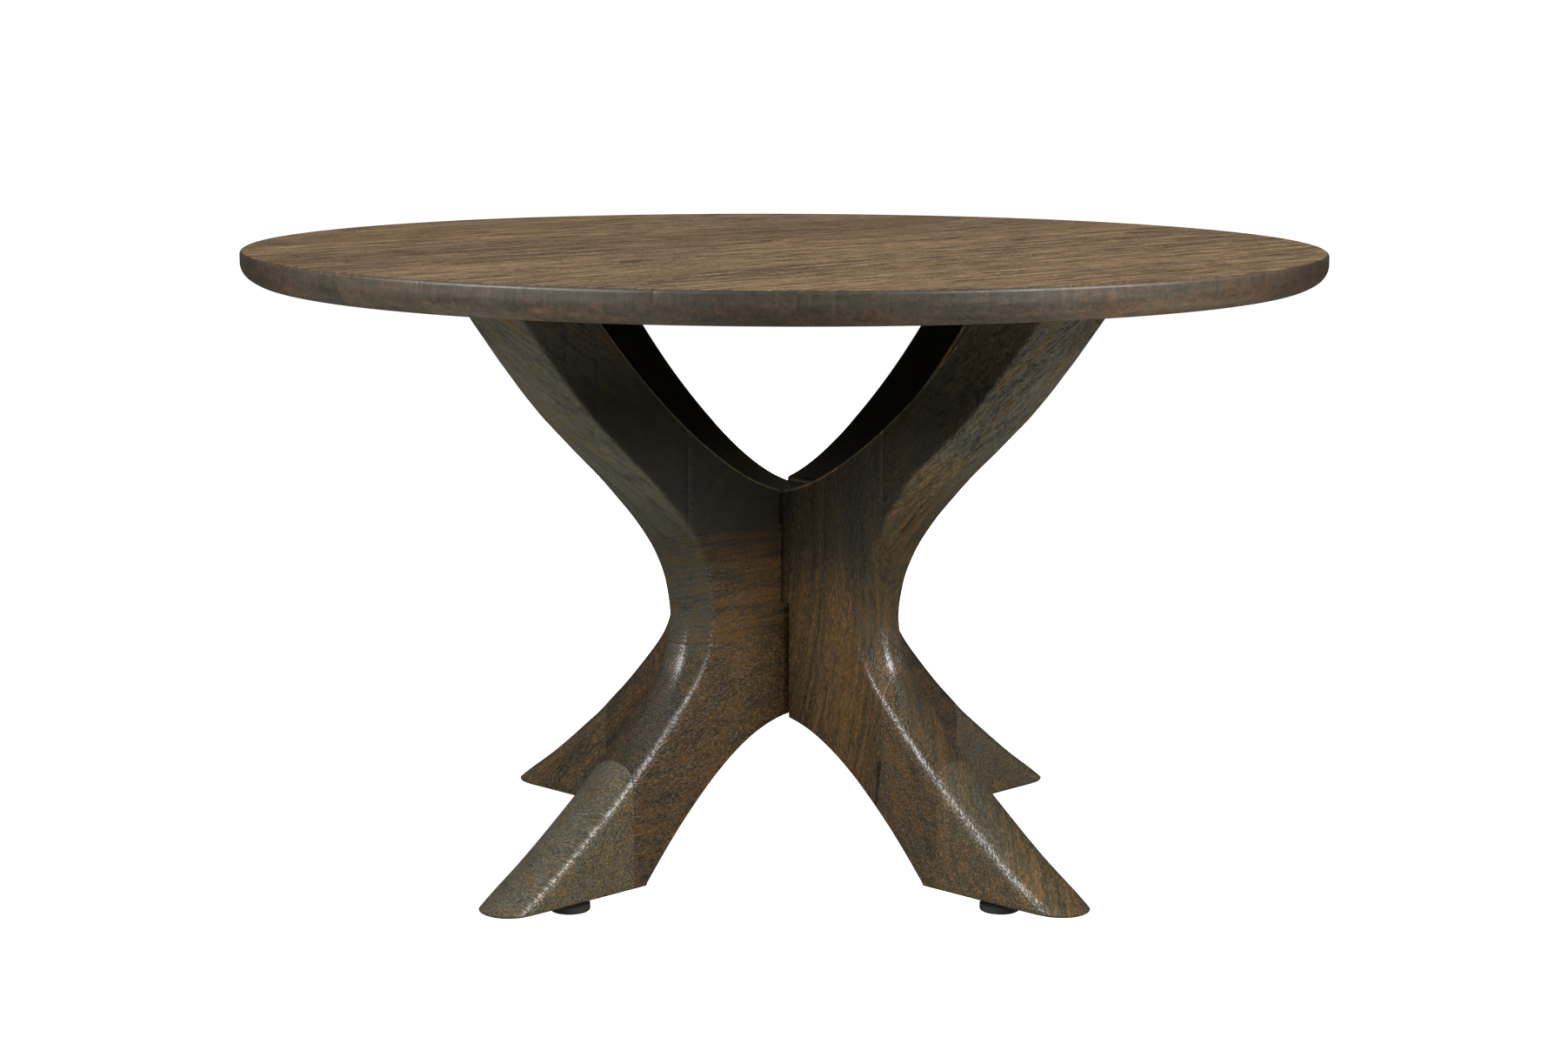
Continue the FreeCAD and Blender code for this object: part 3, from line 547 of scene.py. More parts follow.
def eye(m, p, u, v, u0, v0, ru, rv):
    """Grain that parts round a knot at (u0, v0): the bent p and the knot's mask."""
    a = m.math("DIVIDE", m.math("SUBTRACT", u, u0), ru)
    dv = m.math("SUBTRACT", v, v0)
    b = m.math("DIVIDE", dv, rv)
    e = m.math("ADD", m.math("MULTIPLY", a, a), m.math("MULTIPLY", b, b))
    g = m.math("EXPONENT", m.math("MULTIPLY", e, -0.7))
    p = m.vec("ADD", p, m.join(0.0, m.math("MULTIPLY", m.math("MULTIPLY", dv, g), -0.85), 0.0))
    return p, m.math("EXPONENT", m.math("MULTIPLY", e, -5.0))


def level(m, base, *terms):
    """base plus weight * (field - 0.5) for each (field, weight)."""
    v = base
    for f, w in terms:
        v = m.math("ADD", m.math("MULTIPLY", m.math("SUBTRACT", f, 0.5), w), v)
    return v


def frame_wood_material():
    """Dark stained open-pored wood of the slabs: grey-brown with orange-brown
    patches, fine dark pores and pale specks that are partly painted glints."""
    m = Net("frame_wood")
    gc, tone, lum, calm = m.attr("gc"), m.attr("tone", "Fac"), m.attr("lum", "Fac"), m.attr("calm", "Fac")
    at = m.t.nodes.new("ShaderNodeTexCoord").outputs["Object"]
    q = 1 / math.sqrt(2)
    ua, ub, z = m.vec("DOT_PRODUCT", at, (q, q, 0), out=1), m.vec("DOT_PRODUCT", at, (q, -q, 0), out=1), m.xyz(at)[2]
    p, late, streak, rib, fibre, speck, pore, _ = fibre_fields(m, gc, 0.0055)
    cloud = m.noise(m.vec("MULTIPLY", gc, (4.0, 13.0, 13.0)), 1.0, 3.0, 0.55)
    spot = m.span(m.noise(m.vec("MULTIPLY", p, (11.0, 78.0, 78.0)), 1.0, 3.0, 0.6), 0.26, 0.74)
    rib = m.math("ADD", m.math("MULTIPLY", m.math("SUBTRACT", rib, 0.5), m.span(calm, -0.5, 0.5, 0.5, 1.15)), 0.5)
    w = level(m, 0.5, (cloud, 0.9), (streak, 0.50), (rib, 0.66), (spot, 0.20), (fibre, 0.14), (speck, 0.14))
    w = m.math("ADD", w, m.math("MULTIPLY", tone, 0.30))
    warmth = m.span(w, 0.16, 0.90, 0.0, 1.0, True)
    col = m.mix(warmth, m.mix(m.span(w, 0.10, -0.35, 0.0, 1.0), FRAME_GREY, FRAME_COOL), FRAME_WARM)
    busy = m.math("SUBTRACT", 1.0, calm)
    v = level(m, 1.06, (streak, 0.28), (rib, 0.44), (spot, 0.08), (cloud, 0.20))
    fine = level(m, 0.06, (fibre, 0.12), (speck, 0.84))
    v = m.math("ADD", v, m.math("MULTIPLY", fine, busy))
    v = m.math("SUBTRACT", v, m.math("MULTIPLY", late, m.math("ADD", 0.34, m.math("MULTIPLY", calm, 0.16))))
    split = m.math("MAXIMUM", mark(m, ub, z, 0.1985, 0.156, 0.193, 0.100, 0.0046, 0.0022),
                   m.math("MAXIMUM", mark(m, ub, z, 0.219, 0.440, 0.252, 0.476, 0.0012, 0.0040),
                          m.math("MAXIMUM", mark(m, ub, z, 0.236, 0.434, 0.278, 0.482, 0.0011, 0.0034),
                                 mark(m, ua, z, -0.282, 0.0535, -0.190, 0.0655, 0.0012, 0.0030))))
    halo = mark(m, ub, z, 0.1985, 0.150, 0.193, 0.108, 0.016, 0.006)
    # painted light and shade: lum carries the pieces' painted shade and light as well as their own tone
    v = m.math("MULTIPLY", v, m.math("MAXIMUM", m.math("ADD", lum, 1.0), 0.08))
    v = m.math("MULTIPLY", v, m.math("SUBTRACT", 1.0, m.math("MULTIPLY", split, 0.72)))
    col = m.mix(m.math("MULTIPLY", halo, 0.6), col, FRAME_GREY)
    col = m.vec("SCALE", col, m.math("MAXIMUM", v, 0.03))
    depth = m.math("MULTIPLY", pore, m.math("ADD", 0.25, m.math("MULTIPLY", busy, 0.75)))
    col = m.mix(depth, col, m.vec("MULTIPLY", col, (0.46, 0.40, 0.31)))
    # pale specks: partly pale spots in the wood, partly painted glints of gloss on the pores
    pale_fleck_glint = m.math("MULTIPLY", m.span(level(m, 0.5, (speck, 0.9), (pore, -0.4)), 0.84, 1.15, 0.0, 0.15, True), busy)
    col = m.mix(pale_fleck_glint, col, m.vec("SCALE", FRAME_PALE, m.math("MAXIMUM", v, 0.0)))
    h = level(m, 0.0, (fibre, 0.4), (speck, 0.9))
    h = m.math("SUBTRACT", h, m.math("MULTIPLY", pore, 0.9))
    relief = m.span(lum, -0.9, -0.1, 0.12, 1.0)
    normal = m.bump(m.math("MULTIPLY", m.math("MULTIPLY", h, relief), m.math("ADD", 0.25, m.math("MULTIPLY", busy, 0.75))), 0.00024, 1.0)
    swell = m.noise(m.vec("MULTIPLY", gc, (14.0, 22.0, 22.0)), 1.0, 2.0, 0.5)
    normal = m.bump(swell, 0.0012, 1.0, normal)
    r = m.span(level(m, 0.5, (speck, 0.3), (pore, 1.0)), 0.2, 1.1, 0.28, 0.56)
    r = m.math("SUBTRACT", r, m.math("MULTIPLY", calm, 0.10))
    r = m.math("ADD", m.math("MULTIPLY", r, relief), m.math("MULTIPLY", m.math("SUBTRACT", 1.0, relief), 0.48))
    m.set(Base_Color=col, Roughness=r, Normal=normal)
    m.bsdf.inputs["IOR"].default_value = 1.5
    m.bsdf.inputs["Specular IOR Level"].default_value = 0.8
    return m.mat


def top_wood_material():
    """The tabletop's boards: tan with long grey-brown streaks on the face, the
    end-cut edge dark, grey and slightly glossy."""
    m = Net("top_wood")
    gc, tone, lum, edge = m.attr("gc"), m.attr("tone", "Fac"), m.attr("lum", "Fac"), m.attr("edge", "Fac")
    rim_light_shade_paint, rim_w = m.attr("rim_light_shade_paint", "Fac"), m.attr("rim_w", "Fac")
    at = m.t.nodes.new("ShaderNodeTexCoord").outputs["Object"]
    q = 1 / math.sqrt(2)
    u, v = m.vec("DOT_PRODUCT", at, (q, q, 0), out=1), m.vec("DOT_PRODUCT", at, (-q, q, 0), out=1)
    eyes = ((-0.306, -0.067, 0.085, 0.022), (0.560, -0.149, 0.080, 0.022), (0.295, -0.128, 0.060, 0.014), (-0.10, 0.30, 0.070, 0.018),
            (0.21, 0.22, 0.05, 0.013), (-0.42, 0.20, 0.06, 0.015))
    p, late, streak, rib, fibre, speck, pore, knot = fibre_fields(m, gc, 0.0075, eyes, (u, v))
    broad = m.noise(m.vec("MULTIPLY", p, (1.4, 30.0, 30.0)), 1.0, 3.0, 0.6)
    band = m.span(m.noise(m.vec("MULTIPLY", p, (3.2, 84.0, 84.0)), 1.0, 3.0, 0.62), 0.26, 0.74)
    g = m.math("ADD", level(m, 0.5, (broad, 0.9), (band, -0.40), (fibre, -0.2)), m.math("MULTIPLY", tone, 0.22))
    grey = m.span(g, 0.25, 0.85, 0.0, 1.0, True)
    face = m.mix(grey, TOP_TAN, TOP_GREY)
    warm = m.noise(m.vec("MULTIPLY", gc, (2.2, 16.0, 16.0)), 1.0, 3.0, 0.55)
    face = m.mix(m.span(warm, 0.5, 0.68, 0.0, 0.55, True), face, TOP_WARM)
    v = level(m, 1.01, (broad, 0.85), (band, 0.66), (streak, 0.30), (rib, 0.46), (fibre, 0.90), (speck, 1.35))
    v = m.math("SUBTRACT", v, m.math("MULTIPLY", late, 0.22))
    v = m.math("ADD", v, lum)
    v = m.math("MULTIPLY", v, m.math("SUBTRACT", 1.0, m.math("MULTIPLY", knot, 0.62)))
    face = m.vec("SCALE", face, m.math("MAXIMUM", v, 0.15))
    face = m.mix(pore, face, m.vec("MULTIPLY", face, (0.72, 0.66, 0.58)))
    # the dark edge: blotches, rings cut across, a few warm places
    blot = m.noise(m.vec("MULTIPLY", gc, (12.0, 12.0, 62.0)), 1.0, 4.0, 0.68, 0.8)
    cloud = m.noise(m.vec("MULTIPLY", gc, (6.0, 6.0, 42.0)), 1.0, 3.0, 0.6)
    spot = m.noise(m.vec("MULTIPLY", gc, (75.0, 75.0, 160.0)), 1.0, 3.0, 0.65)
    ray = m.span(m.noise(m.vec("MULTIPLY", gc, (230.0, 230.0, 34.0)), 1.0, 2.0, 0.6), 0.30, 0.70)
    ew = m.span(m.math("ADD", level(m, 0.5, (blot, 1.7), (spot, 0.9), (cloud, 0.6), (ray, 0.30)), rim_w), 0.34, 1.0, 0.0, 1.0, True)
    rim = m.mix(ew, EDGE_GREY, EDGE_WARM)
    ev = level(m, 1.0, (cloud, 1.1), (blot, -0.4), (spot, 0.7), (streak, 0.2), (ray, 0.32), (speck, 0.34))
    ev = m.math("SUBTRACT", ev, m.math("MULTIPLY", late, 0.16))
    # painted light and shade: the rim colour is scaled by the rim's painted light and shade
    rim = m.vec("SCALE", rim, m.math("MULTIPLY", m.math("MAXIMUM", ev, 0.15), m.math("ADD", rim_light_shade_paint, 1.0)))
    col = m.mix(edge, face, rim)
    face_h = level(m, 0.0, (fibre, 0.5), (speck, 0.5))
    face_h = m.math("SUBTRACT", face_h, m.math("MULTIPLY", pore, 0.5))
    flat = m.math("SUBTRACT", 1.0, edge)
    h = m.math("ADD", m.math("MULTIPLY", face_h, flat), m.math("MULTIPLY", level(m, 0.0, (spot, 0.5), (blot, 1.0), (ray, 0.35)), edge))
    normal = m.bump(h, 0.00020, 1.0)
    r = m.math("ADD", m.span(level(m, 0.5, (band, 0.7)), 0.2, 0.8, 0.50, 0.62), m.math("MULTIPLY", edge, -0.12))
    m.set(Base_Color=col, Roughness=r, Normal=normal)
    m.bsdf.inputs["IOR"].default_value = 1.5
    m.bsdf.inputs["Specular IOR Level"].default_value = 0.7
    return m.mat


# =====================================================================
# materials
# =====================================================================
FRAME_GREY, FRAME_WARM, FRAME_PALE = srgb(67, 58, 40), srgb(81, 60, 35), srgb(110, 99, 78)
FRAME_COOL = srgb(70, 68, 58)
TOP_TAN, TOP_GREY, TOP_WARM = srgb(121, 99, 73), srgb(99, 81, 57), srgb(121, 94, 63)
EDGE_GREY, EDGE_WARM = srgb(72, 66, 55), srgb(89, 69, 51)
frame_wood = frame_wood_material()
top_wood = top_wood_material()


def steel(name, base, rough, coat=False):
    m = Net(name)
    tc = m.t.nodes.new("ShaderNodeTexCoord").outputs["Object"]
    n1 = m.noise(tc, 900.0, 3.0, 0.6)
    n2 = m.noise(tc, 60.0, 3.0, 0.6)
    col = m.mix(m.span(n2, 0.35, 0.7, 0.0, 1.0), tuple(c * 0.82 for c in base), base)
    m.set(Base_Color=col, Roughness=m.span(n2, 0.3, 0.7, rough * 0.8, rough * 1.25), Normal=m.bump(n1, 0.00012, 1.0))
    m.bsdf.inputs["Metallic"].default_value = 0.0 if coat else 1.0
    return m.mat


zinc = steel("zinc_steel", (0.60, 0.60, 0.57), 0.34)
black_steel = steel("plate_steel", (0.030, 0.030, 0.031), 0.5, coat=True)


def plastic(name, base, rough):
    m = Net(name)
    tc = m.t.nodes.new("ShaderNodeTexCoord").outputs["Object"]
    n1 = m.noise(tc, 1400.0, 2.0, 0.5)
    n2 = m.noise(tc, 45.0, 3.0, 0.6)
    col = m.mix(n2, tuple(c * 0.75 for c in base), tuple(c * 1.25 for c in base))
    m.set(Base_Color=col, Roughness=m.span(n2, 0.3, 0.7, rough * 0.85, rough * 1.15), Normal=m.bump(n1, 0.00008, 1.0))
    return m.mat


glide_mat = plastic("glide_plastic", (0.030, 0.033, 0.029), 0.42)

# =====================================================================
# crossed slabs
# =====================================================================


def reach_a(side, face, z):
    """Slab A: the chamfers of the arms run 14 mm further over the sides."""
    return 14.0 * float(smooth01((z - 330) / 130))


def reach_b(side, face, z):
    return 30.0 * float(smooth01((z - 400) / 120))


rng = np.random.default_rng(7)
GLUE = 0.35


def local_to_world(turn):
    return Matrix.Rotation(math.radians(turn), 4, "Z")


def cut_piece(source, cuts):
    bm = source.copy()
    for point, normal, radius in cuts:
        ease_and_cut(bm, point, normal, radius, 2 if radius < 1 else 5)
    return bm


def boolean_box(ob, lo, hi):
    bpy.ops.mesh.primitive_cube_add(size=1.0)
    cutter = bpy.context.object
    cutter.scale = [b - a for a, b in zip(lo, hi)]
    cutter.location = [(a + b) / 2 for a, b in zip(lo, hi)]
    bpy.context.view_layer.update()
    mod = ob.modifiers.new("slot", "BOOLEAN")
    mod.operation, mod.solver, mod.object = "DIFFERENCE", "EXACT", cutter
    dg = bpy.context.evaluated_depsgraph_get()
    me = bpy.data.meshes.new_from_object(ob.evaluated_get(dg))
    ob.modifiers.clear()
    ob.data = me
    bpy.data.objects.remove(cutter)


def slab_piece(source, node, turn, cuts, along, tone, lum=0.0, slots=None, pith=None, calm=0.0):
    bm = cut_piece(source, cuts)
    if slots:
        ob = make_object(node + "_raw", bm, None, 1.0)
        boolean_box(ob, *slots)
        bm2 = bmesh.new()
        bm2.from_mesh(ob.data)
        bpy.data.objects.remove(ob)
        bm = bm2
    bmesh.ops.remove_doubles(bm, verts=bm.verts, dist=1e-4)
    bmesh.ops.dissolve_degenerate(bm, dist=1e-3, edges=bm.edges)
    rot = local_to_world(turn)
    bm.transform(rot)
    ob = piece("wood_" + node, bm, node, "table", frame_wood, 28)
    a = rot.to_3x3() @ Vector(along)
    c = rot.to_3x3() @ Vector((0, 1, 0) if abs(along[1]) < 0.8 * Vector(along).length else (1, 0, 0))
    off = pith if pith is not None else (rng.uniform(-3, 3), rng.uniform(-0.06, 0.06), rng.uniform(0.07, 0.16))
    # painted shade and light: the side faces are painted darker high up, where the tabletop shades them,
    # and the arms' outer edges are painted paler, standing in for the light the floor throws up on them
    co = np.empty(len(ob.data.vertices) * 3)
    ob.data.vertices.foreach_get("co", co)
    loc = (co.reshape(-1, 3) / MM) @ np.array(rot.to_3x3())
    u, z = np.abs(loc[:, 0]), loc[:, 2]
    back = smooth01((-np.sign(loc[:, 0]) * (1 if turn == -45 else -1)) * 0.5 + 0.5) * smooth01((u - 60) / 120)
    wide = 14.0 * smooth01((z - 330) / 130) if turn == 45 else 30.0 * smooth01((z - 400) / 120)
    nose = smooth01((u - (ridge_w(z) - wide - 7.0)) / 9.0)
    high = smooth01((z - 350) / 95)
    arm_edge_painted_light = smooth01((z - 420) / 130)
    low = 1 - smooth01((z - 230) / 110)
    top = smooth01((z - 590) / 110)
    if turn == 45:
        side_painted_shade, side_t = 1 - high * (0.655 - 0.50 * top), -1.6 * high
        calm = calm + 0.35 * high * (1 - nose)
        nose_painted_light_shade, nose_t = 1 + 1.12 * arm_edge_painted_light + 0.40 * top - 0.33 * low + 0.12 * low * (u > 290), -0.9 - 1.9 * smooth01((z - 255) / 60)
        calm = calm + (0.05 + 0.40 * smooth01((z - 215) / 60)) * nose
    else:
        border = smooth01((z - 225) / 60) * (1 - smooth01((z - 430) / 60))
        side_painted_shade, side_t = 1 - 0.43 * smooth01((z - 335) / 80) - high * (0.12 - 0.38 * top), -1.5 * smooth01((z - 310) / 100)
        nose_painted_light_shade, nose_t = 1 + 1.32 * arm_edge_painted_light - 0.04 * low + 0.10 * border, -0.35 - 2.4 * arm_edge_painted_light - 0.7 * border
        calm = calm + (0.32 + 0.38 * border) * nose
    va, ul = np.abs(loc[:, 1]), loc[:, 0]
    near = np.minimum(np.abs(z - vee(np.clip(ul, -372, 372))), np.abs(z - arch(np.clip(ul, -276, 276))))
    # painted shade: the inner curve of the far arms, under the top, is painted darkest
    inner = ((va <= T2 - EASE * 0.98) & (near < 6.0)).astype(float)
    side_painted_shade = side_painted_shade * (1 - 0.86 * back * inner * smooth01((z - 380) / 90))
    # painted shade: the far halves of both slabs are also darkened as a whole
    lum = (1 + lum) * (side_painted_shade * (1 - nose) + nose_painted_light_shade * nose) * (1 - 0.28 * back) - 1
    tone = tone + side_t * (1 - nose) + nose_t * nose
    bend = 0.0
    if turn == -45 and abs(along[2]) >= 0.9:
        bend = -np.sign(loc[:, 0]) * np.clip(410 - z, 0, None) ** 2 * 0.00062 * smooth01(u / 60)
    # the edges of the arms' and arch's inner sides are painted paler: partly wear, partly a painted highlight on the
    # rounded arris
    wear_and_highlight = ((va > T2 - EASE * 0.98) & (va < T2 - 0.04) & (near < 6.0) & (u < ridge_w(z) - 25)).astype(float)
    lum = lum + wear_and_highlight * (1.7 * high + 0.42)
    tone = tone + wear_and_highlight * 1.2
    grain(ob, a, c, off, tone, lum, calm, bend)
    return ob


def u_min(v, r=GLUE):
    return ((v, 0, 0), (1, 0, 0), r)


def u_max(v, r=GLUE):
    return ((v, 0, 0), (-1, 0, 0), r)


def z_min(v, r=GLUE):
    return ((0, 0, v), (0, 0, 1), r)


def z_max(v, r=GLUE):
    return ((0, 0, v), (0, 0, -1), r)


SLOT_A, SLOT_B = T2 + 5.0, T2 + 9.0
slab_a = slab_mesh(reach_a, 1.6)
slab_b = slab_mesh(reach_b, 2.2)

def both(sg, a, b):
    """Cuts that keep a <= |u| <= b on the sg side."""
    out = []
    if a is not None:
        out.append(u_min(a) if sg > 0 else u_max(-a))
    if b is not None:
        out.append(u_max(b) if sg > 0 else u_min(-b))
    return out


# slab A, pieces; its front-left half is the one seen best
slab_piece(slab_a, "slab_a_lower_board", 45, [u_min(-290), u_max(290), z_min(97), z_max(297)], (1, 0.20, 0.10), 0.36, -0.06, calm=-0.25)
slab_piece(slab_a, "slab_a_waist_board", 45, [z_min(297), z_max(432)], (1, 0.07, 0.0), 0.75, 0.0, calm=0.35,
           slots=((-SLOT_A, -60, LAP_Z), (SLOT_A, 60, 500)))
for sg, nm in ((-1, "front_left"), (1, "back_right")):
    slab_piece(slab_a, "slab_a_heel_" + nm, 45, both(sg, 60, 290) + [z_max(97)], (sg, 0.26, 0.05), 0.5, 0.0)
    slab_piece(slab_a, "slab_a_foot_" + nm, 45, both(sg, 290, None) + [z_max(320)], (sg * 0.62, 0.62, 0.48), -1.5, 0.86, calm=-0.15)
    sh = both(sg, None, 200) + [u_min(SLOT_A, 5.0) if sg > 0 else u_max(-SLOT_A, 5.0), z_min(432)]
    slab_piece(slab_a, "slab_a_shoulder_" + nm, 45, sh, (sg * 0.15, 1.0, 0.10), -0.3, 0.0, pith=(0.3, 0.02 * sg, 0.47), calm=0.40)
    slab_piece(slab_a, "slab_a_arm_inner_" + nm, 45, both(sg, 200, 345) + [z_min(432)], (sg * 0.72, 0.30, 0.62), -0.3, 0.0, calm=0.35)
    slab_piece(slab_a, "slab_a_arm_outer_" + nm, 45, both(sg, 345, None) + [z_min(432)], (sg * 0.70, 0.34, 0.64), -0.1, 0.0, calm=0.30)

# slab B, pieces; its front-right half is the one seen best
slab_piece(slab_b, "slab_b_core", -45, [u_min(-104), u_max(104)], (0.03, 0.0, 1), 0.45, 0.0,
           slots=((-SLOT_B, -60, 0), (SLOT_B, 60, LAP_Z)))
for sg, nm in ((-1, "back_left"), (1, "front_right")):
    slab_piece(slab_b, "slab_b_waist_" + nm, -45, both(sg, 104, 200), (-sg * 0.10, 0.0, 1), 0.60, 0.0)
    leg = (sg * 0.6, -0.55, -0.65) if sg > 0 else (sg * 0.74, -0.10, -0.66)
    slab_piece(slab_b, "slab_b_leg_" + nm, -45, both(sg, 200, 290) + [z_max(320)], leg, 0.05, 0.03, calm=-0.10)
    slab_piece(slab_b, "slab_b_foot_" + nm, -45, both(sg, 290, None) + [z_max(320)], leg, -0.75, 0.52, calm=-0.15)
    slab_piece(slab_b, "slab_b_arm_inner_" + nm, -45, both(sg, 200, 345) + [z_min(320)], (sg, 0.12, 0.95), 0.35, 0.08)
    slab_piece(slab_b, "slab_b_arm_outer_" + nm, -45, both(sg, 345, None) + [z_min(320)], (sg, 0.25, 0.95), 0.05, -0.02)
slab_a.free()
slab_b.free()

# =====================================================================
# tabletop
# =====================================================================
SEAMS = [-700, -570, -470, -355, -228, -96, 35, 168, 300, 400, 525, 700]


def disc_mesh():
    """The whole top as one closed mesh in the boards' frame, millimetres."""
    prof = [(0.0, 728.0), (120.0, 728.0), (260.0, 728.0), (400.0, 728.0), (520.0, 728.0), (600.0, 728.0), (618.0, 728.0)]
    cx, cz, r = 624.0, 772.2, 44.2
    for k in range(0, 9):
        a = math.radians(-90 + 40.3 * k / 8)
        prof.append((cx + r * math.cos(a), cz + r * math.sin(a)))
    cx, cz, r = 638.8, 754.5, 21.0
    for k in range(1, 10):
        a = math.radians(-49.7 + 49.7 * k / 9)
        prof.append((cx + r * math.cos(a), cz + r * math.sin(a)))
    prof += [(659.8, 758.5), (659.8, 762.0)]
    cx, cz, r = 659.8 - 4.6, 768.5 - 4.6, 4.6
    for k in range(0, 9):
        a = math.radians(90.0 * k / 8)
        prof.append((cx + r * math.cos(a), cz + r * math.sin(a)))
    prof += [(647.0, 768.5), (620.0, 768.5), (540.0, 768.5), (420.0, 768.5), (280.0, 768.5), (140.0, 768.5), (0.0, 768.5)]
    bm = bmesh.new()
    n = 420
    rings = []
    for r, z in prof:
        if r == 0.0:
            rings.append([bm.verts.new((0, 0, z))])
            continue
        ring = []
        for i in range(n):
            a = 2 * math.pi * i / n
            # the hand-sanded rim is not quite true
            k = 1.0
            if r > 600:
                wob = 0.16 * math.sin(9 * a + 1.0) + 0.12 * math.sin(23 * a + 0.4) + 0.09 * math.sin(41 * a + 2.2)
                k = (r - 0.3 + wob * 0.6) / r
            ring.append(bm.verts.new((r * k * math.cos(a), r * k * math.sin(a), z)))
        rings.append(ring)
    for a, b in zip(rings[:-1], rings[1:]):
        for i in range(n):
            i2 = (i + 1) % n
            if len(a) == 1:
                bm.faces.new((a[0], b[i2], b[i]))
            elif len(b) == 1:
                bm.faces.new((a[i], a[i2], b[0]))
            else:
                bm.faces.new((a[i], a[i2], b[i2], b[i]))
    bmesh.ops.recalc_face_normals(bm, faces=bm.faces)
    bm.normal_update()
    return bm


disc = disc_mesh()
BOARD_TONE = [-0.1, 0.0, -0.2, 0.1, -0.1, -0.3, 0.5, 0.7, 0.1, 0.3, 0.0]
BOARD_LUM = [0.02, 0.0, 0.05, -0.02, 0.03, 0.05, -0.06, -0.08, 0.0, -0.04, 0.0]
for i in range(11):
    bm = disc.copy()
    if i > 0:
        ease_and_cut(bm, (0, SEAMS[i], 0), (0, 1, 0), 0.14, 2)
    if i < 10:
        ease_and_cut(bm, (0, SEAMS[i + 1], 0), (0, -1, 0), 0.14, 2)
    bmesh.ops.remove_doubles(bm, verts=bm.verts, dist=1e-4)
    rot = local_to_world(45)
    bm.transform(rot)
    node = "top_board_%02d" % (i + 1)
    ob = piece("wood_" + node, bm, node, "table", top_wood, 28)
    mid = (max(SEAMS[i], -660) + min(SEAMS[i + 1], 660)) / 2 * MM
    a = rot.to_3x3() @ Vector((1, 0, 0))
    c = rot.to_3x3() @ Vector((0, 1, 0))
    grain(ob, a, c, (rng.uniform(-3, 3), mid + rng.uniform(-0.05, 0.05), 0.748 + (0.10 + rng.uniform(0, 0.09)) * rng.choice((-1, 1))),
          BOARD_TONE[i], BOARD_LUM[i])
    co = np.empty(len(ob.data.vertices) * 3)
    ob.data.vertices.foreach_get("co", co)
    drop = 768.5 - co.reshape(-1, 3)[:, 2] * 1000
    at = ob.data.attributes.new("edge", "FLOAT", "POINT")
    at.data.foreach_set("value", np.clip((drop - 0.15) / 0.7, 0, 1).astype(np.float32))
    # painted light and shade round the rim: paler where the side lamps' sheen falls on it, darker at the front centre
    # and at the far ends
    x = co.reshape(-1, 3)[:, 0]
    near = co.reshape(-1, 3)[:, 1] < 0
    rim_sheen_shade_paint = (0.12 + 0.14 * (x > 0)) * np.exp(-((np.abs(x) - 0.34) / 0.15) ** 2) - 0.31 * smooth01((np.abs(x) - 0.50) / 0.12) + 0.16 * np.exp(-((x - 0.42) / 0.13) ** 2) * near - 0.38 * np.exp(-(x / 0.14) ** 2) * near - 0.18 * smooth01((x - 0.54) / 0.08) - 0.10 * smooth01((-x - 0.56) / 0.06)
    rusty = 0.16 * smooth01((np.abs(x) - 0.45) / 0.15) + 0.12 * smooth01((x - 0.2) / 0.2)
    # painted light: the edge is painted paler towards its hollow lower side, which faces down into shade
    zz = co.reshape(-1, 3)[:, 2] * 1000
    lower = np.interp(zz, [728.0, 730.8, 732.7, 736.4, 740.0, 743.7, 747.4, 751.0, 755.0, 764.0, 768.5],
                      [3.7, 3.3, 2.8, 2.1, 1.65, 1.22, 1.0, 0.86, 0.81, 0.83, 0.9])
    lower = np.where(np.hypot(x, co.reshape(-1, 3)[:, 1]) < 0.6205, 1.0, lower)
    rim_sheen_shade_paint = (1 + rim_sheen_shade_paint) * lower - 1
    for nm, val in (("rim_light_shade_paint", rim_sheen_shade_paint), ("rim_w", rusty)):
        at = ob.data.attributes.new(nm, "FLOAT", "POINT")
        at.data.foreach_set("value", val.astype(np.float32))
disc.free()

# =====================================================================
# the remaining CAD nodes keep their shape
# =====================================================================
for n, o in NODES.items():
    if n.startswith("fixing_plate"):
        m, s = black_steel, "plate_steel"
    elif n.startswith("glide_pad"):
        m, s = glide_mat, "glide_plastic"
    elif n.startswith(("glide_stem", "plate_screws", "top_bolts", "top_washers", "top_inserts", "foot_sleeves")):
        m, s = zinc, "zinc_steel"
    else:
        continue
    o.data.materials.clear()
    o.data.materials.append(m)

# =====================================================================
# floor, light, camera
# =====================================================================


def stage_material(name, shade, glow):
    m = Net(name)
    tc = m.t.nodes.new("ShaderNodeTexCoord").outputs["Object"]
    n = m.noise(tc, 3.0, 2.0, 0.5)
    m.set(Base_Color=m.mix(n, (shade - 0.01,) * 3, (shade + 0.01,) * 3), Roughness=0.9)
    m.bsdf.inputs["Specular IOR Level"].default_value = 0.1
    m.bsdf.inputs["Emission Color"].default_value = (1, 1, 1, 1)
    m.bsdf.inputs["Emission Strength"].default_value = glow
    return m.mat


def turned(name, prof, n, mat):
    bm = bmesh.new()
    rings = []
    for r, z in prof:
        if r == 0:
            rings.append([bm.verts.new((0, 0, z))])
        else:
            rings.append([bm.verts.new((r * math.cos(2 * math.pi * i / n), r * math.sin(2 * math.pi * i / n), z)) for i in range(n)])
    for a, b in zip(rings[:-1], rings[1:]):
        for i in range(n):
            if len(a) == 1:
                bm.faces.new((a[0], b[i], b[(i + 1) % n]))
            else:
                bm.faces.new((a[i], b[i], b[(i + 1) % n], a[(i + 1) % n]))
    ob = make_object(name, bm, None, 1.0)
    ob.data.materials.append(mat)
    return ob


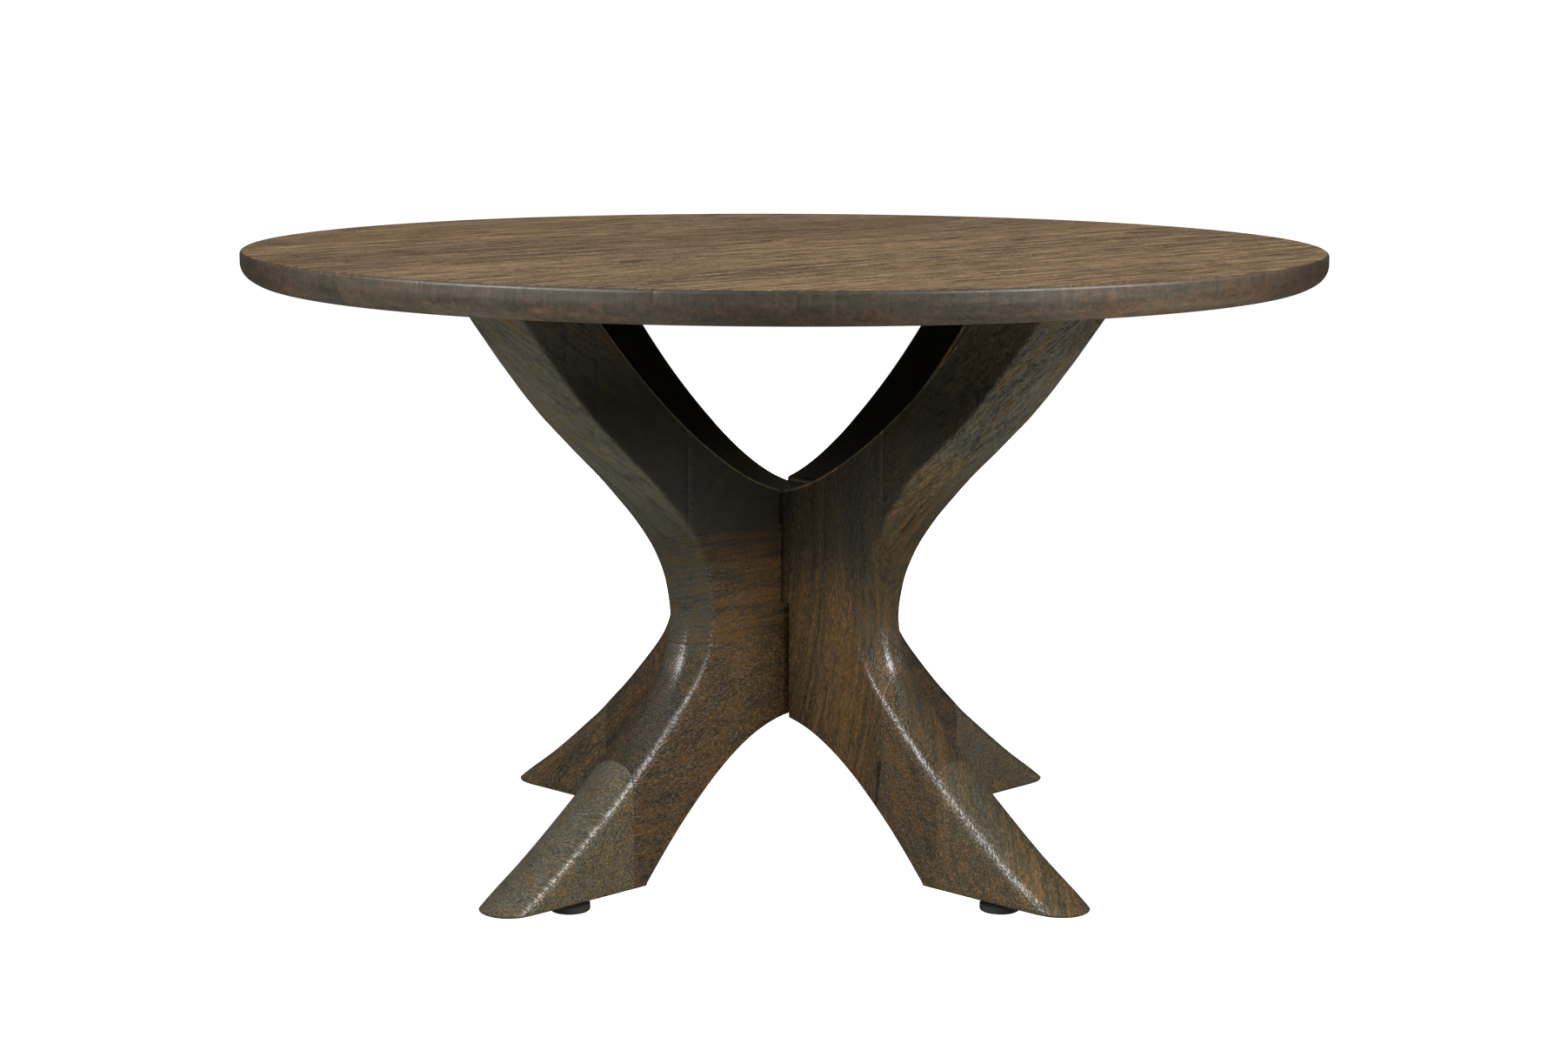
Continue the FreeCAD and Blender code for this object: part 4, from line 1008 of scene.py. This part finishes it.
sweep = [(0.0, 0.0), (3.0, 0.0), (7.0, 0.0)]
for k in range(1, 17):
    a = math.pi / 2 * k / 16
    sweep.append((7.0 + 2.5 * math.sin(a), 2.5 - 2.5 * math.cos(a)))
sweep.append((9.5, 9.0))
floor = turned("floor", sweep, 96, stage_material("floor", 0.86, 0.84))
# low enough to leave room for the glides when they are screwed out
floor.location.z = -0.0125
floor.visible_glossy = False
floor.visible_diffuse = False
card = turned("bounce_card", [(0.0, -0.016), (4.0, -0.016)], 64, stage_material("card", 0.50, 0.0))
card.visible_camera = False
card.visible_glossy = False

world = bpy.data.worlds.new("studio")
scene.world = world
world.use_nodes = True
bg = world.node_tree.nodes["Background"]
bg.inputs[0].default_value = (1.0, 1.0, 1.0, 1)
bg.inputs[1].default_value = 0.05


def area(name, loc, target, size, power, color=(1, 1, 1), glossy=True):
    d = bpy.data.lights.new(name, "AREA")
    d.shape = "RECTANGLE"
    d.size, d.size_y = size
    d.energy = power
    d.color = color
    o = bpy.data.objects.new(name, d)
    scene.collection.objects.link(o)
    o.location = loc
    o.rotation_mode = "QUATERNION"
    o.rotation_quaternion = (Vector(target) - Vector(loc)).to_track_quat("-Z", "Y")
    o.visible_camera = False
    o.visible_glossy = glossy
    return o


area("key_left", (-4.85, -3.25, 3.10), (0, 0, 0.35), (4.2, 2.1), 350)
area("key_right", (4.85, -3.25, 3.10), (0, 0, 0.35), (4.2, 2.1), 350)
area("side_left", (-3.1, 0.1, 0.40), (-0.3, -0.1, 0.5), (1.6, 0.7), 14, glossy=False)
area("side_right", (3.1, 0.1, 0.40), (0.3, -0.1, 0.5), (1.6, 0.7), 14, glossy=False)
area("front_low", (0.0, -4.4, 0.40), (0, 0, 0.55), (3.0, 0.6), 60, glossy=False)
area("rear", (0.0, 4.4, 0.9), (0, 0, 0.4), (3.6, 1.4), 130, glossy=False)
area("overhead", (0.0, -0.3, 4.6), (0, -0.3, 0.0), (5.0, 4.0), 140, glossy=False)

cam_data = bpy.data.cameras.new("camera")
cam = bpy.data.objects.new("camera", cam_data)
scene.collection.objects.link(cam)
scene.camera = cam
cam_data.sensor_width = 36.0
cam_data.lens = 3564.0 / 1803.0 * 36.0
cam_data.clip_start, cam_data.clip_end = 0.05, 60
cam.location = (-0.0464, -3.8105, 1.0326)
YAW, PITCH, ROLL = -0.0123, 0.1582, 0.0031
cam.rotation_mode = "QUATERNION"
cam.rotation_quaternion = (Matrix.Rotation(YAW, 3, "Z") @ Matrix.Rotation(math.pi / 2 - PITCH, 3, "X")
                           @ Matrix.Rotation(ROLL, 3, "Z")).to_quaternion()
scene.view_settings.view_transform = "Standard"
scene.view_settings.look = "None"
